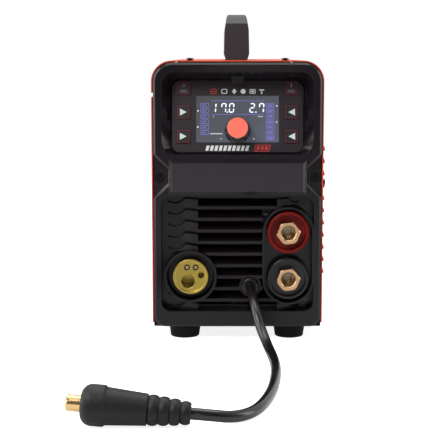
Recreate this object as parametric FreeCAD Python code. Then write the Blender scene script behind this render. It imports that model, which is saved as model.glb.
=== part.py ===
"""Portable MIG welding machine, as separate pieces. Millimetres, +Z up, front faces -Y, feet on z = 0."""
import FreeCAD, Part
import math
import os

os.makedirs("parts", exist_ok=True)
V = FreeCAD.Vector

# ---- Body ----
body_width = 162.0
body_depth = 370.0
body_height = 252.5
foot_height = 12.0
sheet = 1.2
cover_radius = 19.5
fit_gap = 0.15
plate_gap = 0.3

# ---- Front and rear bezels: heights are above the base's underside ----
bezel_inset = 2.0
bezel_wall = 2.5
bezel_face = 3.0
bezel_depth = 30.0
bezel_top_radius = 18.0
bezel_low_radius = 10.0
bezel_edge = 2.0
bezel_lift = 0.6
cover_setback = 6.0
rear_depth = 22.0

# ---- Control recess and its sloping panel ----
recess_margin = 7.7
recess_low = 165.2
recess_high = 241.9
recess_low_radius = 13.0
recess_high_radius = 11.5
panel_margin = 8.8
panel_tilt = 14.0
panel_depth = 5.0
panel_low = 166.0
panel_length = 70.0
panel_radius = 8.0
panel_floor = 2.5
overlay_thick = 0.8
boss_top_half = 8.0
boss_low_half = 5.0
boss_height = 11.0
boss_depth = 12.0
boss_thick = 8.1
board_gap = 10.0
board_thick = 1.6
board_margin = 5.5
board_low = 2.0
board_high = 63.5

# ---- Keys, display and knob, placed along the sloping panel ----
key_size = 12.2
key_inset = 11.7
key_rows = [15.8, 39.0, 62.0]
key_proud = 1.3
key_travel = 0.5
key_gap = 0.25
key_lip = 1.0
lens_side_gap = 5.7
lens_low = 10.3
lens_high = 54.9
lens_ledge = 2.0
knob_up = 21.3
skirt_radius = 12.2
skirt_height = 6.5
knob_radius = 9.6
knob_flutes = 24
overlay_margin = 1.0
switch_height = 4.0
knob_height = 17.0
shaft_radius = 3.0
bush_radius = 3.6

# ---- Centre band and the side pockets ----
band_margin = 17.7
band_low = 130.8
band_high = 156.8
band_proud = 2.5
pocket_margin = 13.8
pocket_bevel = 2.6
pocket_low = 138.4
pocket_high = 150.7
pocket_run = 13.8
pocket_depth = 7.0
bezel_screw_inset = 7.5
bezel_screw_up = 143.1

# ---- Grille recess, slats and gills ----
grille_margin = 6.8
grille_low = 15.8
grille_high = 125.6
grille_radius = 9.0
grille_depth = 16.0
vent_left = 37.3
vent_far = 37.8
vent_margin = 3.5
slat_count = 9
slat_top = 114.3
slat_pitch = 11.14
slat_thick = 3.3
slat_front = 7.0
slat_rake = 7.6
slat_web = 2.2
gill_tip_margin = 6.2
far_gill_run = 21.0
gill_rise = 9.4

# ---- Torch connector ----
euro_inset = 36.6
euro_up = 48.9
euro_collar_radius = 25.0
euro_collar_bore = 22.6
euro_brass_radius = 16.9
euro_face_radius = 14.7
euro_face_depth = 1.6
euro_back = 1.0
euro_reach = 62.7
euro_stem_radius = 9.0
liner_radius = 6.6
liner_offset = (-2.6, -4.6)
gas_hole_radius = 3.0
gas_hole_offset = (10.0, 1.2)
contact_radius = 1.8
contact_ring = 2.9
contact_offsets = [(-3.3, 8.6), (4.9, 8.6)]

# ---- Panel sockets ----
socket_inset = 32.8
socket_high = 91.1
socket_low = 46.6
collar_radius = 24.4
collar_bore = 22.6
bush_outer = 20.1
bush_step = 17.0
bush_step_depth = 6.0
bush_shank = 15.0
bush_back = 14.0
bush_front = 1.5
hex_turn = 8.0
hex_flats = 20.0
hex_length = 12.0
stem_radius = 9.5
stem_back = 22.0
socket_bore = 6.5
bore_depth = 23.6
bolt_seat = 28.0
bolt_radius = 4.2

# ---- Cable gland, lead and plug ----
gland_inset = 11.3
gland_up = 39.1
gland_radius = 8.3
gland_reach = 4.0
lead_diameter = 9.0
plug_radius = 15.4
plug_rear_radius = 7.0
plug_length = 81.0
rib_count = 4
rib_pitch = 8.0
pin_radius = 6.3
pin_seat = 18.0
pin_show = 11.0

# ---- Base tray and divider ----
tray_wall = 14.8
tray_side_gap = 1.4
divider_x = -5.0

# ---- Rear fittings ----
fan_side_gap = 10.0
fan_up = 128.0
fan_radius = 37.5
fan_frame_half = 40.0
fan_depth = 25.0
fan_screw_spread = 35.75
fan_hub_radius = 17.0
fan_pin_radius = 2.0
switch_up = 205.0
switch_half = 13.5
switch_tall = 10.5
mains_inset = 25.0
mains_radius = 9.0
gas_x = 18.0
mains_bore = 5.0
gas_thread_radius = 6.0
gas_barb_radius = 4.6
gas_bore = 2.2
valve_gap = 8.0
rocker_throw = 20.0
low_fitting_up = 32.0
rear_screw_inset = 15.0
rear_screw_low = 14.0
rear_screw_high = 230.0

# ---- Electronics ----
standoff = 12.0
power_rear_gap = 15.0
power_low = 70.0
power_tall = 130.0
power_start = 145.0
sink_base = 4.0
sink_reach = 34.0
sink_gap = 8.0
core_width = 44.0
core_length = 56.0
core_height = 40.0
can_radius = 12.0
can_height = 34.0
sink_tall = 62.0
sink_fin = 2.0
sink_fins = 7

# ---- Wire feeder and spool hub ----
wire_radius = 0.5
feed_back = 100.0
roll_radius = 15.0
roll_width = 10.0
roll_shaft = 4.0
motor_neck = 9.0
motor_radius = 27.0
gearbox_length = 24.0
motor_length = 46.0
hub_back = 245.0
hub_up = 128.0
hub_radius = 25.0
hub_length = 52.0
hub_bolt = 5.0
hub_axle_radius = 9.0
feeder_thick = 4.0
guide_radius = 3.0
roller_radius = 11.0
arm_back = 26.0
arm_pivot_rise = 22.0
arm_thick = 9.0
arm_pin_radius = 3.0
lever_front = 24.0
lever_rod = 3.0
lever_rise = 15.0
lever_gap = 0.7
lever_swing = 55.0

# ---- Feet, screws and handle ----
foot_side_inset = 30.6
foot_top_radius = 15.4
foot_low_radius = 13.6
foot_inset = 21.0
screw_radius = 2.0
screw_head = 3.4
screw_rise = 2.4
screw_length = 9.0
big_screw_radius = 2.5
big_head = 4.4
big_length = 14.0
top_screw_inset = 36.3
cover_screw_back = 16.0
side_screw_up = 137.7
handle_width = 24.9
handle_front = 78.0
handle_length = 190.0
handle_height = 45.0
handle_grip = 18.0
handle_post = 24.0
handle_lean = 14.0
handle_top_width = 19.2

# ---- Cover louvres, side door and its hinges ----
louvre_count = 11
louvre_low = 44.4
louvre_pitch = 12.08
louvre_height = 8.0
louvre_proud = 4.7
louvre_length = 110.0
louvre_start = 40.0
shoulder_low = 222.5
door_top = 218.4
door_low = 3.6
pull_up = 141.0
pull_height = 25.0
pull_width = 34.0
pull_back = 62.0
pull_proud = 2.4
hinge_radius = 2.6
hinge_pin_radius = 1.4
hinge_knuckle = 14.0
hinge_low = 40.0
hinge_high = 170.0
latch_thick = 2.0
latch_half = 13.0

base_z = foot_height
top_z = base_z + body_height
half_width = body_width / 2
tray_floor_top = sheet + fit_gap
bezel_half = half_width - bezel_inset
recess_half = bezel_half - recess_margin
panel_half = recess_half - panel_margin
board_half = panel_half - board_margin
key_columns = panel_half - key_inset
lens_half = key_columns - key_size / 2 - lens_side_gap
band_half = bezel_half - band_margin
pocket_x = bezel_half - pocket_margin
bezel_screw_x = half_width - bezel_screw_inset
grille_half = bezel_half - grille_margin
gill_tip_x = grille_half - gill_tip_margin
euro_x = euro_inset - half_width
socket_x = half_width - socket_inset
vent_right = socket_x - collar_radius
gland_x = vent_right - gland_inset
fan_x = half_width - fan_side_gap - fan_frame_half
mains_x = half_width - mains_inset
rear_screw_x = half_width - rear_screw_inset
foot_x = half_width - foot_side_inset
top_screw_x = half_width - top_screw_inset
tilt = math.radians(panel_tilt)
knob_reach = knob_height * math.cos(tilt) - (knob_up - knob_radius) * math.sin(tilt) - panel_depth
gas_barb_reach = 24.0
front = -(body_depth + gas_barb_reach - knob_reach) / 2
rear = front + body_depth
fan_z = base_z + fan_up
switch_z = base_z + switch_up
low_fitting_z = base_z + low_fitting_up
feed_y = front + feed_back
feed_z = base_z + euro_up
drive_axis_z = feed_z - wire_radius - roll_radius
power_y0 = front + power_start
divider_rear = rear - fan_depth - bezel_face - 2
power_y1 = divider_rear - power_rear_gap
sink_length = (power_y1 - power_y0 - 3 * sink_gap) / 2
power_z0 = base_z + power_low
power_z1 = power_z0 + power_tall
standoff_spots = [(y, z) for y in (power_y0 + 5, power_y1 - 5) for z in (power_z0 + 4, power_z1 - 4)]
hub_y = front + hub_back
post_rows = [board_low + 3.2, (key_rows[1] + key_rows[2]) / 2]
hub_z = base_z + hub_up


# ---- Shared shapes ----
def up(height):
    """A height above the floor, from a height above the base's underside."""
    return base_z + height


def box(x0, x1, y0, y1, z0, z1):
    return Part.makeBox(x1 - x0, y1 - y0, z1 - z0, V(x0, y0, z0))


def rod(radius, start, along, length):
    return Part.makeCylinder(radius, length, V(*start), V(*along))


def tube(outer, inner, start, along, length):
    return rod(outer, start, along, length).cut(rod(inner, start, along, length))


def prism(points, along):
    """A straight prism on a closed outline of corner points."""
    corners = [V(*p) for p in points]
    return Part.Face(Part.makePolygon(corners + corners[:1])).extrude(V(*along))


def rounded(half, low, high, low_radius, high_radius, y=0.0, x=0.0):
    """A rounded rectangle across X and Z at one Y, as a wire."""
    corner = math.sqrt(0.5)
    corners = [(1, low, low_radius), (1, high, high_radius), (-1, high, high_radius), (-1, low, low_radius)]
    arcs = []
    for side, z, r in corners:
        cx = x + side * (half - r)
        cz = z + r if z == low else z - r
        down = V(0, 0, -r) if z == low else V(0, 0, r)
        out = V(side * r, 0, 0)
        ends = [down, out] if (side > 0) == (z == low) else [out, down]
        middle = (down + out) * corner
        centre = V(cx, y, cz)
        arcs.append(Part.Arc(centre + ends[0], centre + middle, centre + ends[1]).toShape())
    edges = []
    for i, arc in enumerate(arcs):
        nxt = arcs[(i + 1) % 4]
        edges += [arc, Part.makeLine(arc.lastVertex().Point, nxt.firstVertex().Point)]
    return Part.Wire(edges)


def plate(wire, thickness):
    return Part.Face(wire).extrude(V(0, thickness, 0))


def fuse(first, *others):
    return first.multiFuse(list(others)).removeSplitter()


def save(name, *solids):
    shape = solids[0] if len(solids) == 1 else Part.makeCompound(list(solids))
    for solid in shape.Solids:
        if not solid.isValid() or solid.Volume <= 0:
            print("not valid:", name)
    print(f"{name}: {len(shape.Solids)} solids, {shape.Volume / 1000:.1f} cm3")
    shape.exportStep(f"parts/{name}.step")


def on_panel(shape):
    """Carries a shape from the panel's own axes (Z up the slope, -Y out of it) to its place in the bezel."""
    shape = shape.copy()
    shape.rotate(V(0, 0, 0), V(1, 0, 0), -panel_tilt)
    shape.translate(V(0, front + panel_depth, up(panel_low)))
    return shape


def pan_screw(seat, along, radius, head, rise, length):
    """A pan-head screw: its head's underside is at the seat, and its shank runs along the given way."""
    back = [-c * rise for c in along]
    top = rod(head, [s + b for s, b in zip(seat, back)], along, rise)
    dome = top.makeFillet(rise * 0.45, [e for e in top.Edges if e.Curve.TypeId == "Part::GeomCircle"][:1])
    arm, half = head * 0.55, head * 0.13
    cross = box(-arm, arm, -half, half, -rise - 1, -rise * 0.35).fuse(
        box(-half, half, -arm, arm, -rise - 1, -rise * 0.35))
    cross.Placement = FreeCAD.Placement(V(*seat), FreeCAD.Rotation(V(0, 0, 1), V(*along)))
    return dome.cut(cross).fuse(rod(radius, seat, along, length)).removeSplitter()


# ---- Front bezel: one moulding with the control recess, the band, the pockets and the louvred grille ----
def bezel_shell(depth, front_edge):
    """The open-backed outer shell, with a bevelled front edge, cut back over the base tray."""
    low, high = up(bezel_lift), top_z - bezel_inset
    radii = (bezel_low_radius, bezel_top_radius)
    outer = plate(rounded(bezel_half, low, high, *radii, y=front), depth)
    rim = [e for e in outer.Edges if abs(e.BoundBox.YMax - front) < 0.01]
    outer = outer.makeChamfer(front_edge, rim)
    wall = bezel_wall
    inner = rounded(bezel_half - wall, low + wall, high - wall, *[r - wall for r in radii], y=front + bezel_face)
    return outer.cut(plate(inner, depth))


def recess_cut(grow, floor_shift):
    """The flared recess from the rim to the sloping panel, grown on all sides and pushed back at its floor."""
    mouth = rounded(recess_half + grow, up(recess_low) - grow, up(recess_high) + grow,
                    recess_low_radius + grow, recess_high_radius + grow, y=front)
    floor = rounded(panel_half + grow, -grow, panel_length + grow,
                    panel_radius + grow, panel_radius + grow, y=floor_shift)
    return Part.makeLoft([mouth, on_panel(floor)], True, True)


def panel_windows():
    """Openings through the panel floor for the display, the keys and the knob's bush."""
    ledge = lens_ledge
    cuts = [box(-lens_half + ledge, lens_half - ledge, -1, panel_floor + 1, knob_up + skirt_radius + ledge,
                lens_high - ledge), rod(bush_radius + plate_gap, (0, -1, knob_up), (0, 1, 0), panel_floor + 2)]
    half = key_size / 2 + key_gap
    for side in (-1, 1):
        for row in key_rows:
            x = side * key_columns
            cuts.append(box(x - half, x + half, -1, panel_floor + 1, row - half, row + half))
    return [on_panel(c) for c in cuts]


def pocket_outline(side, y, grow=0.0):
    """The pocket's four corners: upright beside the band, and opening at 45 degrees towards the bezel's edge."""
    edge = bezel_half + bezel_wall
    run = pocket_run * (edge - pocket_x) / (bezel_half - pocket_x) + grow
    inner = pocket_x - grow
    return [(side * edge, y, up(pocket_high) + run), (side * inner, y, up(pocket_high) + grow * 0.4),
            (side * inner, y, up(pocket_low) - grow * 0.4), (side * edge, y, up(pocket_low) - run)]


def centre_band():
    """The raised pad across the middle, sloping down to the face all round."""
    slope = band_proud * 1.4
    base = Part.makePolygon([V(x, front, z) for x, z in
                             [(-band_half - slope, up(band_low) - slope), (band_half + slope, up(band_low) - slope),
                              (band_half + slope, up(band_high) + slope), (-band_half - slope, up(band_high) + slope),
                              (-band_half - slope, up(band_low) - slope)]])
    crest = Part.makePolygon([V(x, front - band_proud, z) for x, z in
                              [(-band_half, up(band_low)), (band_half, up(band_low)), (band_half, up(band_high)),
                               (-band_half, up(band_high)), (-band_half, up(band_low))]])
    return Part.makeLoft([base, crest], True, True)


def slat(height, left, right):
    """One louvre blade: an upright lip, and a web that rakes back and up behind the gap above it."""
    lip, half, back = front + slat_front, slat_thick / 2, front + grille_depth + panel_floor
    outline = [(left, lip, half), (left, lip, -half), (left, lip + 3.2, -half), (left, back, -half + slat_rake),
               (left, back, -half + slat_rake + slat_web), (left, lip + 1.4, half)]
    blade = prism(outline, (right - left, 0, 0))
    blade.translate(V(0, 0, up(height)))
    return blade


def gill(height, inner, tip):
    """One gill beside a slat: a wedge that tapers away from the slat and sinks into the floor, scooped out above."""
    low, way = up(height) - slat_thick / 2, math.copysign(1, tip - inner)
    near, far = front + slat_front, front + grille_depth + 0.5
    step = inner + way * min(12.5, 0.55 * abs(tip - inner))
    scoop = Part.Arc(V(step, 0, low + gill_rise + 1), V(step + way * 5, 0, low + 6.2), V(tip, 0, low + 7.6)).toShape()
    edges = [Part.makeLine(V(inner, 0, low), V(inner, 0, low + gill_rise)),
             Part.makeLine(V(inner, 0, low + gill_rise), V(step, 0, low + gill_rise + 1)), scoop,
             Part.makeLine(V(tip, 0, low + 7.6), V(tip, 0, low + 6.2)),
             Part.makeLine(V(tip, 0, low + 6.2), V(inner, 0, low))]
    block = plate(Part.Wire(edges), far - near)
    block.translate(V(0, near, 0))
    sink = prism([(inner + way * 2, near - 1, 0), (tip + way * 2, near - 1, 0), (tip + way * 2, far - 2.5, 0)],
                 (0, 0, top_z))
    return block.cut(sink)


def stadium(radius, y, depth):
    """The rounded slot shape round both panel sockets."""
    low, high = up(socket_low), up(socket_high)
    left, right = socket_x - radius, socket_x + radius
    edges = [Part.makeLine(V(right, y, low), V(right, y, high)),
             Part.Arc(V(right, y, high), V(socket_x, y, high + radius), V(left, y, high)).toShape(),
             Part.makeLine(V(left, y, high), V(left, y, low)),
             Part.Arc(V(left, y, low), V(socket_x, y, low - radius), V(right, y, low)).toShape()]
    return plate(Part.Wire(edges), depth)


def front_bezel():
    floor_y = front + grille_depth
    through = grille_depth + panel_floor
    shell = bezel_shell(bezel_depth, bezel_edge)
    grille_low_z, grille_high_z = up(grille_low), up(grille_high)
    tub = plate(rounded(grille_half + bezel_wall, grille_low_z - bezel_wall, grille_high_z + bezel_wall,
                        grille_radius + bezel_wall, grille_radius + bezel_wall, y=front), through)
    pads = [prism(pocket_outline(s, front, bezel_wall), (0, pocket_depth + bezel_face, 0)) for s in (-1, 1)]
    outline = plate(rounded(bezel_half, up(bezel_lift), top_z - bezel_inset, bezel_low_radius,
                            bezel_top_radius, y=front + bezel_edge), bezel_depth)
    pads = [p.common(outline) for p in pads]
    posts = [on_panel(rod(3.0, (x, panel_floor - 0.5, z), (0, 1, 0), board_gap - panel_floor + 0.5))
             for x in (-board_half + 12, board_half - 12) for z in post_rows]
    body = fuse(shell, tub, *pads, recess_cut(bezel_wall, panel_floor), centre_band(), *posts)
    boss_z = up(recess_high)
    boss = prism([(-boss_top_half, front + boss_depth, boss_z + bezel_wall),
                  (boss_top_half, front + boss_depth, boss_z + bezel_wall),
                  (boss_low_half, front + boss_depth, boss_z - boss_height),
                  (-boss_low_half, front + boss_depth, boss_z - boss_height)], (0, boss_thick, 0))
    cuts = [recess_cut(0, 0).cut(boss)] + panel_windows()
    for side in (-1, 1):
        cuts.append(prism(pocket_outline(side, front - band_proud - 1), (0, pocket_depth + band_proud + 1, 0)))
        rims = [Part.makePolygon([V(*c) for c in ring + ring[:1]]) for ring in
                (pocket_outline(side, front - 0.5, pocket_bevel + 0.5), pocket_outline(side, front + pocket_bevel))]
        cuts.append(Part.makeLoft(rims, True, True))
    cuts.append(plate(rounded(grille_half, grille_low_z, grille_high_z, grille_radius, grille_radius, y=front),
                      grille_depth))
    vent_low, vent_high = grille_low_z + vent_margin, grille_high_z - vent_margin
    cuts.append(box(-vent_left, vent_right, floor_y - 1, floor_y + 5, vent_low, vent_high))
    cuts += [box(vent_right - 1, vent_far, floor_y - 1, floor_y + 5, low, high) for low, high in
             ((up(socket_high + slat_pitch), vent_high), (vent_low, up(socket_low - slat_pitch)))]
    body = body.cut(Part.makeCompound(cuts))

    heights = [slat_top - i * slat_pitch for i in range(slat_count)]
    blades = [slat(h, -vent_left - 0.5, vent_right + 0.5) for h in heights[1:-1]]
    blades += [slat(h, -vent_left - 0.5, vent_far + 0.5) for h in (heights[0], heights[-1])]
    lowest = slat_top - slat_count * slat_pitch
    gills = [gill(h, -vent_left, -gill_tip_x) for h in heights + [lowest]]
    gills += [gill(h, vent_far, vent_far + far_gill_run) for h in (heights[0], lowest)]
    inside = box(-half_width, half_width, front, rear, grille_low_z - 1, top_z)
    gills = [g.common(inside) for g in gills]
    ring = rod(euro_collar_radius, (euro_x, front, up(euro_up)), (0, 1, 0), through)
    body = fuse(body, *blades, *gills, ring, stadium(collar_radius, front, through),
                rod(gland_radius + 2.2, (gland_x, front + slat_front, up(gland_up)), (0, 1, 0), through - slat_front))
    along = (0, 1, 0)
    bores = [rod(euro_collar_bore, (euro_x, front - 1, up(euro_up)), along, grille_depth + 1),
             rod(euro_brass_radius + plate_gap, (euro_x, front, up(euro_up)), along, through + 1),
             stadium(collar_bore, front - 1, grille_depth + 1),
             rod(gland_radius - 1.5 + plate_gap, (gland_x, front, up(gland_up)), along, through + 1)]
    for height in (socket_low, socket_high):
        bores.append(rod(bush_shank + plate_gap, (socket_x, front, up(height)), along, through + 1))
    for side in (-1, 1):
        seat = (side * bezel_screw_x, front, up(bezel_screw_up))
        bores.append(rod(screw_radius + fit_gap, seat, along, bezel_depth))
        bores.append(rod(screw_head + 1.1, seat, along, pocket_depth + 1.2))
        bores.append(rod(screw_radius + fit_gap, (side * top_screw_x, front + cover_screw_back, top_z - 12),
                         (0, 0, 1), 14))
        bores.append(rod(screw_radius + fit_gap, (half_width - 12, front + cover_screw_back, up(side_screw_up)),
                         (1, 0, 0), 14))
    bores += [rod(big_screw_radius + fit_gap, (s * foot_x, front + foot_inset, base_z), (0, 0, 1), 8) for s in (-1, 1)]
    tray_zone = box(-half_width, half_width, front + cover_setback, front + bezel_depth + 1, base_z, up(tray_wall) + 0.7)
    inner = plate(rounded(bezel_half - bezel_wall, up(tray_floor_top), top_z, 1, 1, y=front), bezel_depth + 5)
    bores.append(tray_zone.cut(inner))
    bores.append(box(-half_width, half_width, front + cover_setback, front + bezel_depth + 1, 0, up(tray_floor_top)))
    return body.cut(Part.makeCompound(bores))


save("front_bezel", front_bezel())


# ---- Base tray, divider and feet ----
foot_y = [front + foot_inset, rear - foot_inset]


def base_tray():
    """Folded sheet: a floor with upright flanges all round, holes for the foot screws and slots under the board."""
    half, y0, y1 = half_width - tray_side_gap, front + cover_setback + plate_gap, rear - cover_setback - plate_gap
    outer = box(-half, half, y0, y1, base_z, up(tray_wall))
    tray = outer.cut(box(-half + sheet, half - sheet, y0 + sheet, y1 - sheet, up(sheet), top_z))
    bezel_clear = bezel_half + 0.4
    for y in (y0 - 1, y1 - sheet - 1):
        tray = tray.cut(box(-bezel_clear, bezel_clear, y, y + sheet + 2, up(sheet + fit_gap), top_z))
    holes = [rod(big_screw_radius + fit_gap, (x, y, base_z - 1), (0, 0, 1), 5) for x in (-foot_x, foot_x) for y in foot_y]
    slots = [box(18, 66, y, y + 4, base_z - 1, up(sheet) + 1) for y in range(20, 120, 12)]
    return tray.cut(Part.makeCompound(holes + slots))


def divider_plate():
    """The upright sheet between the wire compartment and the electronics, with a foot flange on the tray."""
    y0, y1 = front + bezel_depth + 8, divider_rear
    top = top_z - sheet - 14
    wall = box(divider_x, divider_x + sheet, y0, y1, up(sheet), top)
    flange = box(divider_x, divider_x + 14, y0, y1, up(sheet), up(2 * sheet))
    holes = [rod(motor_neck + plate_gap, (divider_x - 1, feed_y, drive_axis_z), (1, 0, 0), 4),
             rod(hub_bolt, (divider_x - 1, hub_y, hub_z), (1, 0, 0), 4)]
    posts = [rod(3.0, (divider_x + sheet - 0.5, y, z), (1, 0, 0), standoff + 0.5) for y, z in standoff_spots]
    return fuse(wall, flange, *posts).cut(Part.makeCompound(holes))


def rubber_foot(x, y):
    """A tapered rubber foot with a counterbore for its screw."""
    foot = Part.makeCone(foot_low_radius, foot_top_radius, foot_height, V(x, y, 0))
    rim = [e for e in foot.Edges if e.BoundBox.ZMax < 0.1]
    foot = foot.makeFillet(1.2, rim)
    foot = foot.cut(rod(big_head + 1.2, (x, y, -1), (0, 0, 1), foot_height - 2))
    return foot.cut(rod(big_screw_radius + fit_gap, (x, y, 0), (0, 0, 1), foot_height + 1))


# ---- Sheet cover with its louvres, and the side door ----
cover_front = front + cover_setback
cover_rear = rear - cover_setback


def cover_outline(inset):
    """The folded sheet's outer or inner line: down the right side, over the top and down the left shoulder."""
    half, top, r = half_width - inset, top_z - inset, cover_radius - inset
    bend = r * (1 - math.sqrt(0.5))
    left = Part.Arc(V(-half, 0, top - r), V(-half + bend, 0, top - bend), V(-half + r, 0, top)).toShape()
    right = Part.Arc(V(half - r, 0, top), V(half - bend, 0, top - bend), V(half, 0, top - r)).toShape()
    return [Part.makeLine(V(-half, 0, up(shoulder_low)), V(-half, 0, top - r)), left,
            Part.makeLine(V(-half + r, 0, top), V(half - r, 0, top)), right,
            Part.makeLine(V(half, 0, top - r), V(half, 0, up(door_low)))]


def louvre(height):
    """One louvre pressed out of the right wall, as its outside and its hollow: it opens downwards."""
    base, y0, low = half_width, cover_front + louvre_start, up(height)

    def hood(grow, drop, sink):
        out, rise = louvre_proud - grow, louvre_height - grow
        curve = Part.Arc(V(base, y0 + grow, low + rise), V(base + out * 0.75, y0 + grow, low + rise * 0.62),
                         V(base + out, y0 + grow, low)).toShape()
        corners = [V(x, y0 + grow, z) for x, z in [(base + out, low), (base + out, low - drop), (base - sink, low - drop),
                                                   (base - sink, low + rise), (base, low + rise)]]
        lines = [Part.makeLine(p, q) for p, q in zip(corners, corners[1:]) if p.distanceToPoint(q) > 0]
        return Part.Face(Part.Wire([curve] + lines)).extrude(V(0, louvre_length - 2 * grow, 0))
    return hood(0.0, 0.0, sheet / 2), hood(sheet, 1.0, 2 * sheet)


def cover():
    outer, inner = cover_outline(0), cover_outline(sheet)
    ends = [Part.makeLine(outer[0].firstVertex().Point, inner[0].firstVertex().Point),
            Part.makeLine(outer[-1].lastVertex().Point, inner[-1].lastVertex().Point)]
    wire = Part.Wire(Part.__sortEdges__(outer + inner + ends))
    shell = plate(wire, cover_rear - cover_front)
    shell.translate(V(0, cover_front, 0))
    pairs = [louvre(louvre_low + i * louvre_pitch) for i in range(louvre_count)]
    shell = shell.multiFuse([p[0] for p in pairs]).cut(Part.makeCompound([p[1] for p in pairs]))
    holes = []
    holes += [rod(screw_radius + fit_gap, (x, front + cover_screw_back, top_z - 3), (0, 0, 1), 5)
              for x in (-top_screw_x, top_screw_x)]
    for y in (front + cover_screw_back, rear - cover_screw_back):
        holes.append(rod(screw_radius + fit_gap, (half_width - 3, y, up(side_screw_up)), (1, 0, 0), 5))
    for y in handle_screw_y:
        holes.append(rod(big_screw_radius + fit_gap, (0, y, top_z - 3), (0, 0, 1), 5))
    return shell.cut(Part.makeCompound(holes)).removeSplitter()


def side_door():
    """The flat left door: turned-in edges, a pressed finger pull, and the moving halves of its hinges."""
    x0, y0, y1 = -half_width, cover_front, cover_rear
    low, high, edge = up(door_low), up(door_top), 9.0
    slab = box(x0, x0 + sheet, y0, y1, low, high)
    turned = [box(x0, x0 + edge, y0 + bezel_depth, y1 - rear_depth, high - sheet - 2, high - 2)]
    pull_y = front + pull_back
    half_w, half_h, rise = pull_width / 2, pull_height / 2, pull_proud

    def dome(grow):
        rings = []
        for k, out in ((1.0, -0.5), (0.86, 0.55), (0.6, 0.9), (0.25, 1.0)):
            ring = Part.Ellipse(V(0, 0, 0), half_h * k - grow, half_w * k * 0.7 - grow)
            wire = Part.Wire(ring.toShape())
            wire.rotate(V(0, 0, 0), V(0, 1, 0), 90)
            wire.translate(V(x0 - rise * out + grow, pull_y, up(pull_up)))
            rings.append(wire)
        return Part.makeLoft(rings, True, False)
    bump, hollow = dome(0.0), dome(sheet)
    mouth = box(x0 - rise - 1, x0 - 0.01, pull_y + 1.5, pull_y + half_w + 2, low, high)
    bump = bump.common(box(x0 - rise - 1, x0 + sheet, y0, y1, low, high))
    rails = []
    for s in (-1, 1):
        inner, outer = up(pull_up) + s * (latch_half - 1.5), up(pull_up) + s * (latch_half + 1.7)
        edge_in = up(pull_up) + s * (latch_half + fit_gap)
        back = x0 + sheet + latch_thick + 0.2
        rails.append(box(x0 + sheet - 0.1, back + 1, pull_y - 12, pull_y + 9, min(edge_in, outer), max(edge_in, outer)))
        rails.append(box(back, back + 1, pull_y - 12, pull_y + 9, min(inner, outer), max(inner, outer)))
    door = fuse(slab, *turned, bump).cut(hollow).cut(mouth)
    door = fuse(door, *rails)
    for z in hinge_heights:
        door = door.fuse(hinge_half(z, upper=True))
    return door.removeSplitter()


hinge_heights = [up(hinge_low), up(hinge_high)]
hinge_x = -half_width - hinge_radius + 0.6
hinge_y = rear - cover_setback + hinge_radius + 0.4


def hinge_half(z, upper):
    """Half of a lift-off hinge: the knuckle and its leaf. The upper half is the door's, the lower the bezel's."""
    z0 = z + plate_gap if upper else z - hinge_knuckle
    length = hinge_knuckle - plate_gap if upper else hinge_knuckle
    bore = hinge_pin_radius + 0.05 if upper else hinge_pin_radius
    way = -1 if upper else 1
    knuckle = rod(hinge_radius, (hinge_x, hinge_y, z0), (0, 0, 1), length)
    if upper:
        leaf = box(-half_width - sheet, -half_width, hinge_y - 16, hinge_y, z0, z0 + length)
        return knuckle.fuse(leaf).cut(rod(bore, (hinge_x, hinge_y, z0 - 1), (0, 0, 1), length + 2))
    leaf = box(hinge_x - 0.6, hinge_x + 0.6, hinge_y, rear + sheet, z0, z0 + length)
    foot = box(hinge_x - 0.6, -bezel_half + 16, rear + 0.02, rear + sheet, z0, z0 + length)
    pin = rod(bore, (hinge_x, hinge_y, z0), (0, 0, 1), length + hinge_knuckle - 2)
    return fuse(knuckle, leaf, foot, pin)


def door_latch():
    """The slide latch inside the door: a plate over the pull's opening, a thumb ridge in it and a stepped tongue."""
    x0, y, z = -half_width + sheet + 0.05, front + pull_back, up(pull_up)
    plate_part = box(x0, x0 + latch_thick, y - 18, y + 20, z - latch_half, z + latch_half)
    ridge = box(x0 - 1.2, x0 + 0.5, y + 3.5, y + 6.5, z - 5, z + 5)
    inner = -bezel_half + bezel_wall + plate_gap
    step = box(x0, inner + latch_thick, y - 18, y - 16, z - 5, z + 5)
    tongue = box(inner, inner + latch_thick, front + bezel_depth + 1.0, y - 16, z - 5, z + 5)
    return fuse(plate_part, ridge, step, tongue)


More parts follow.
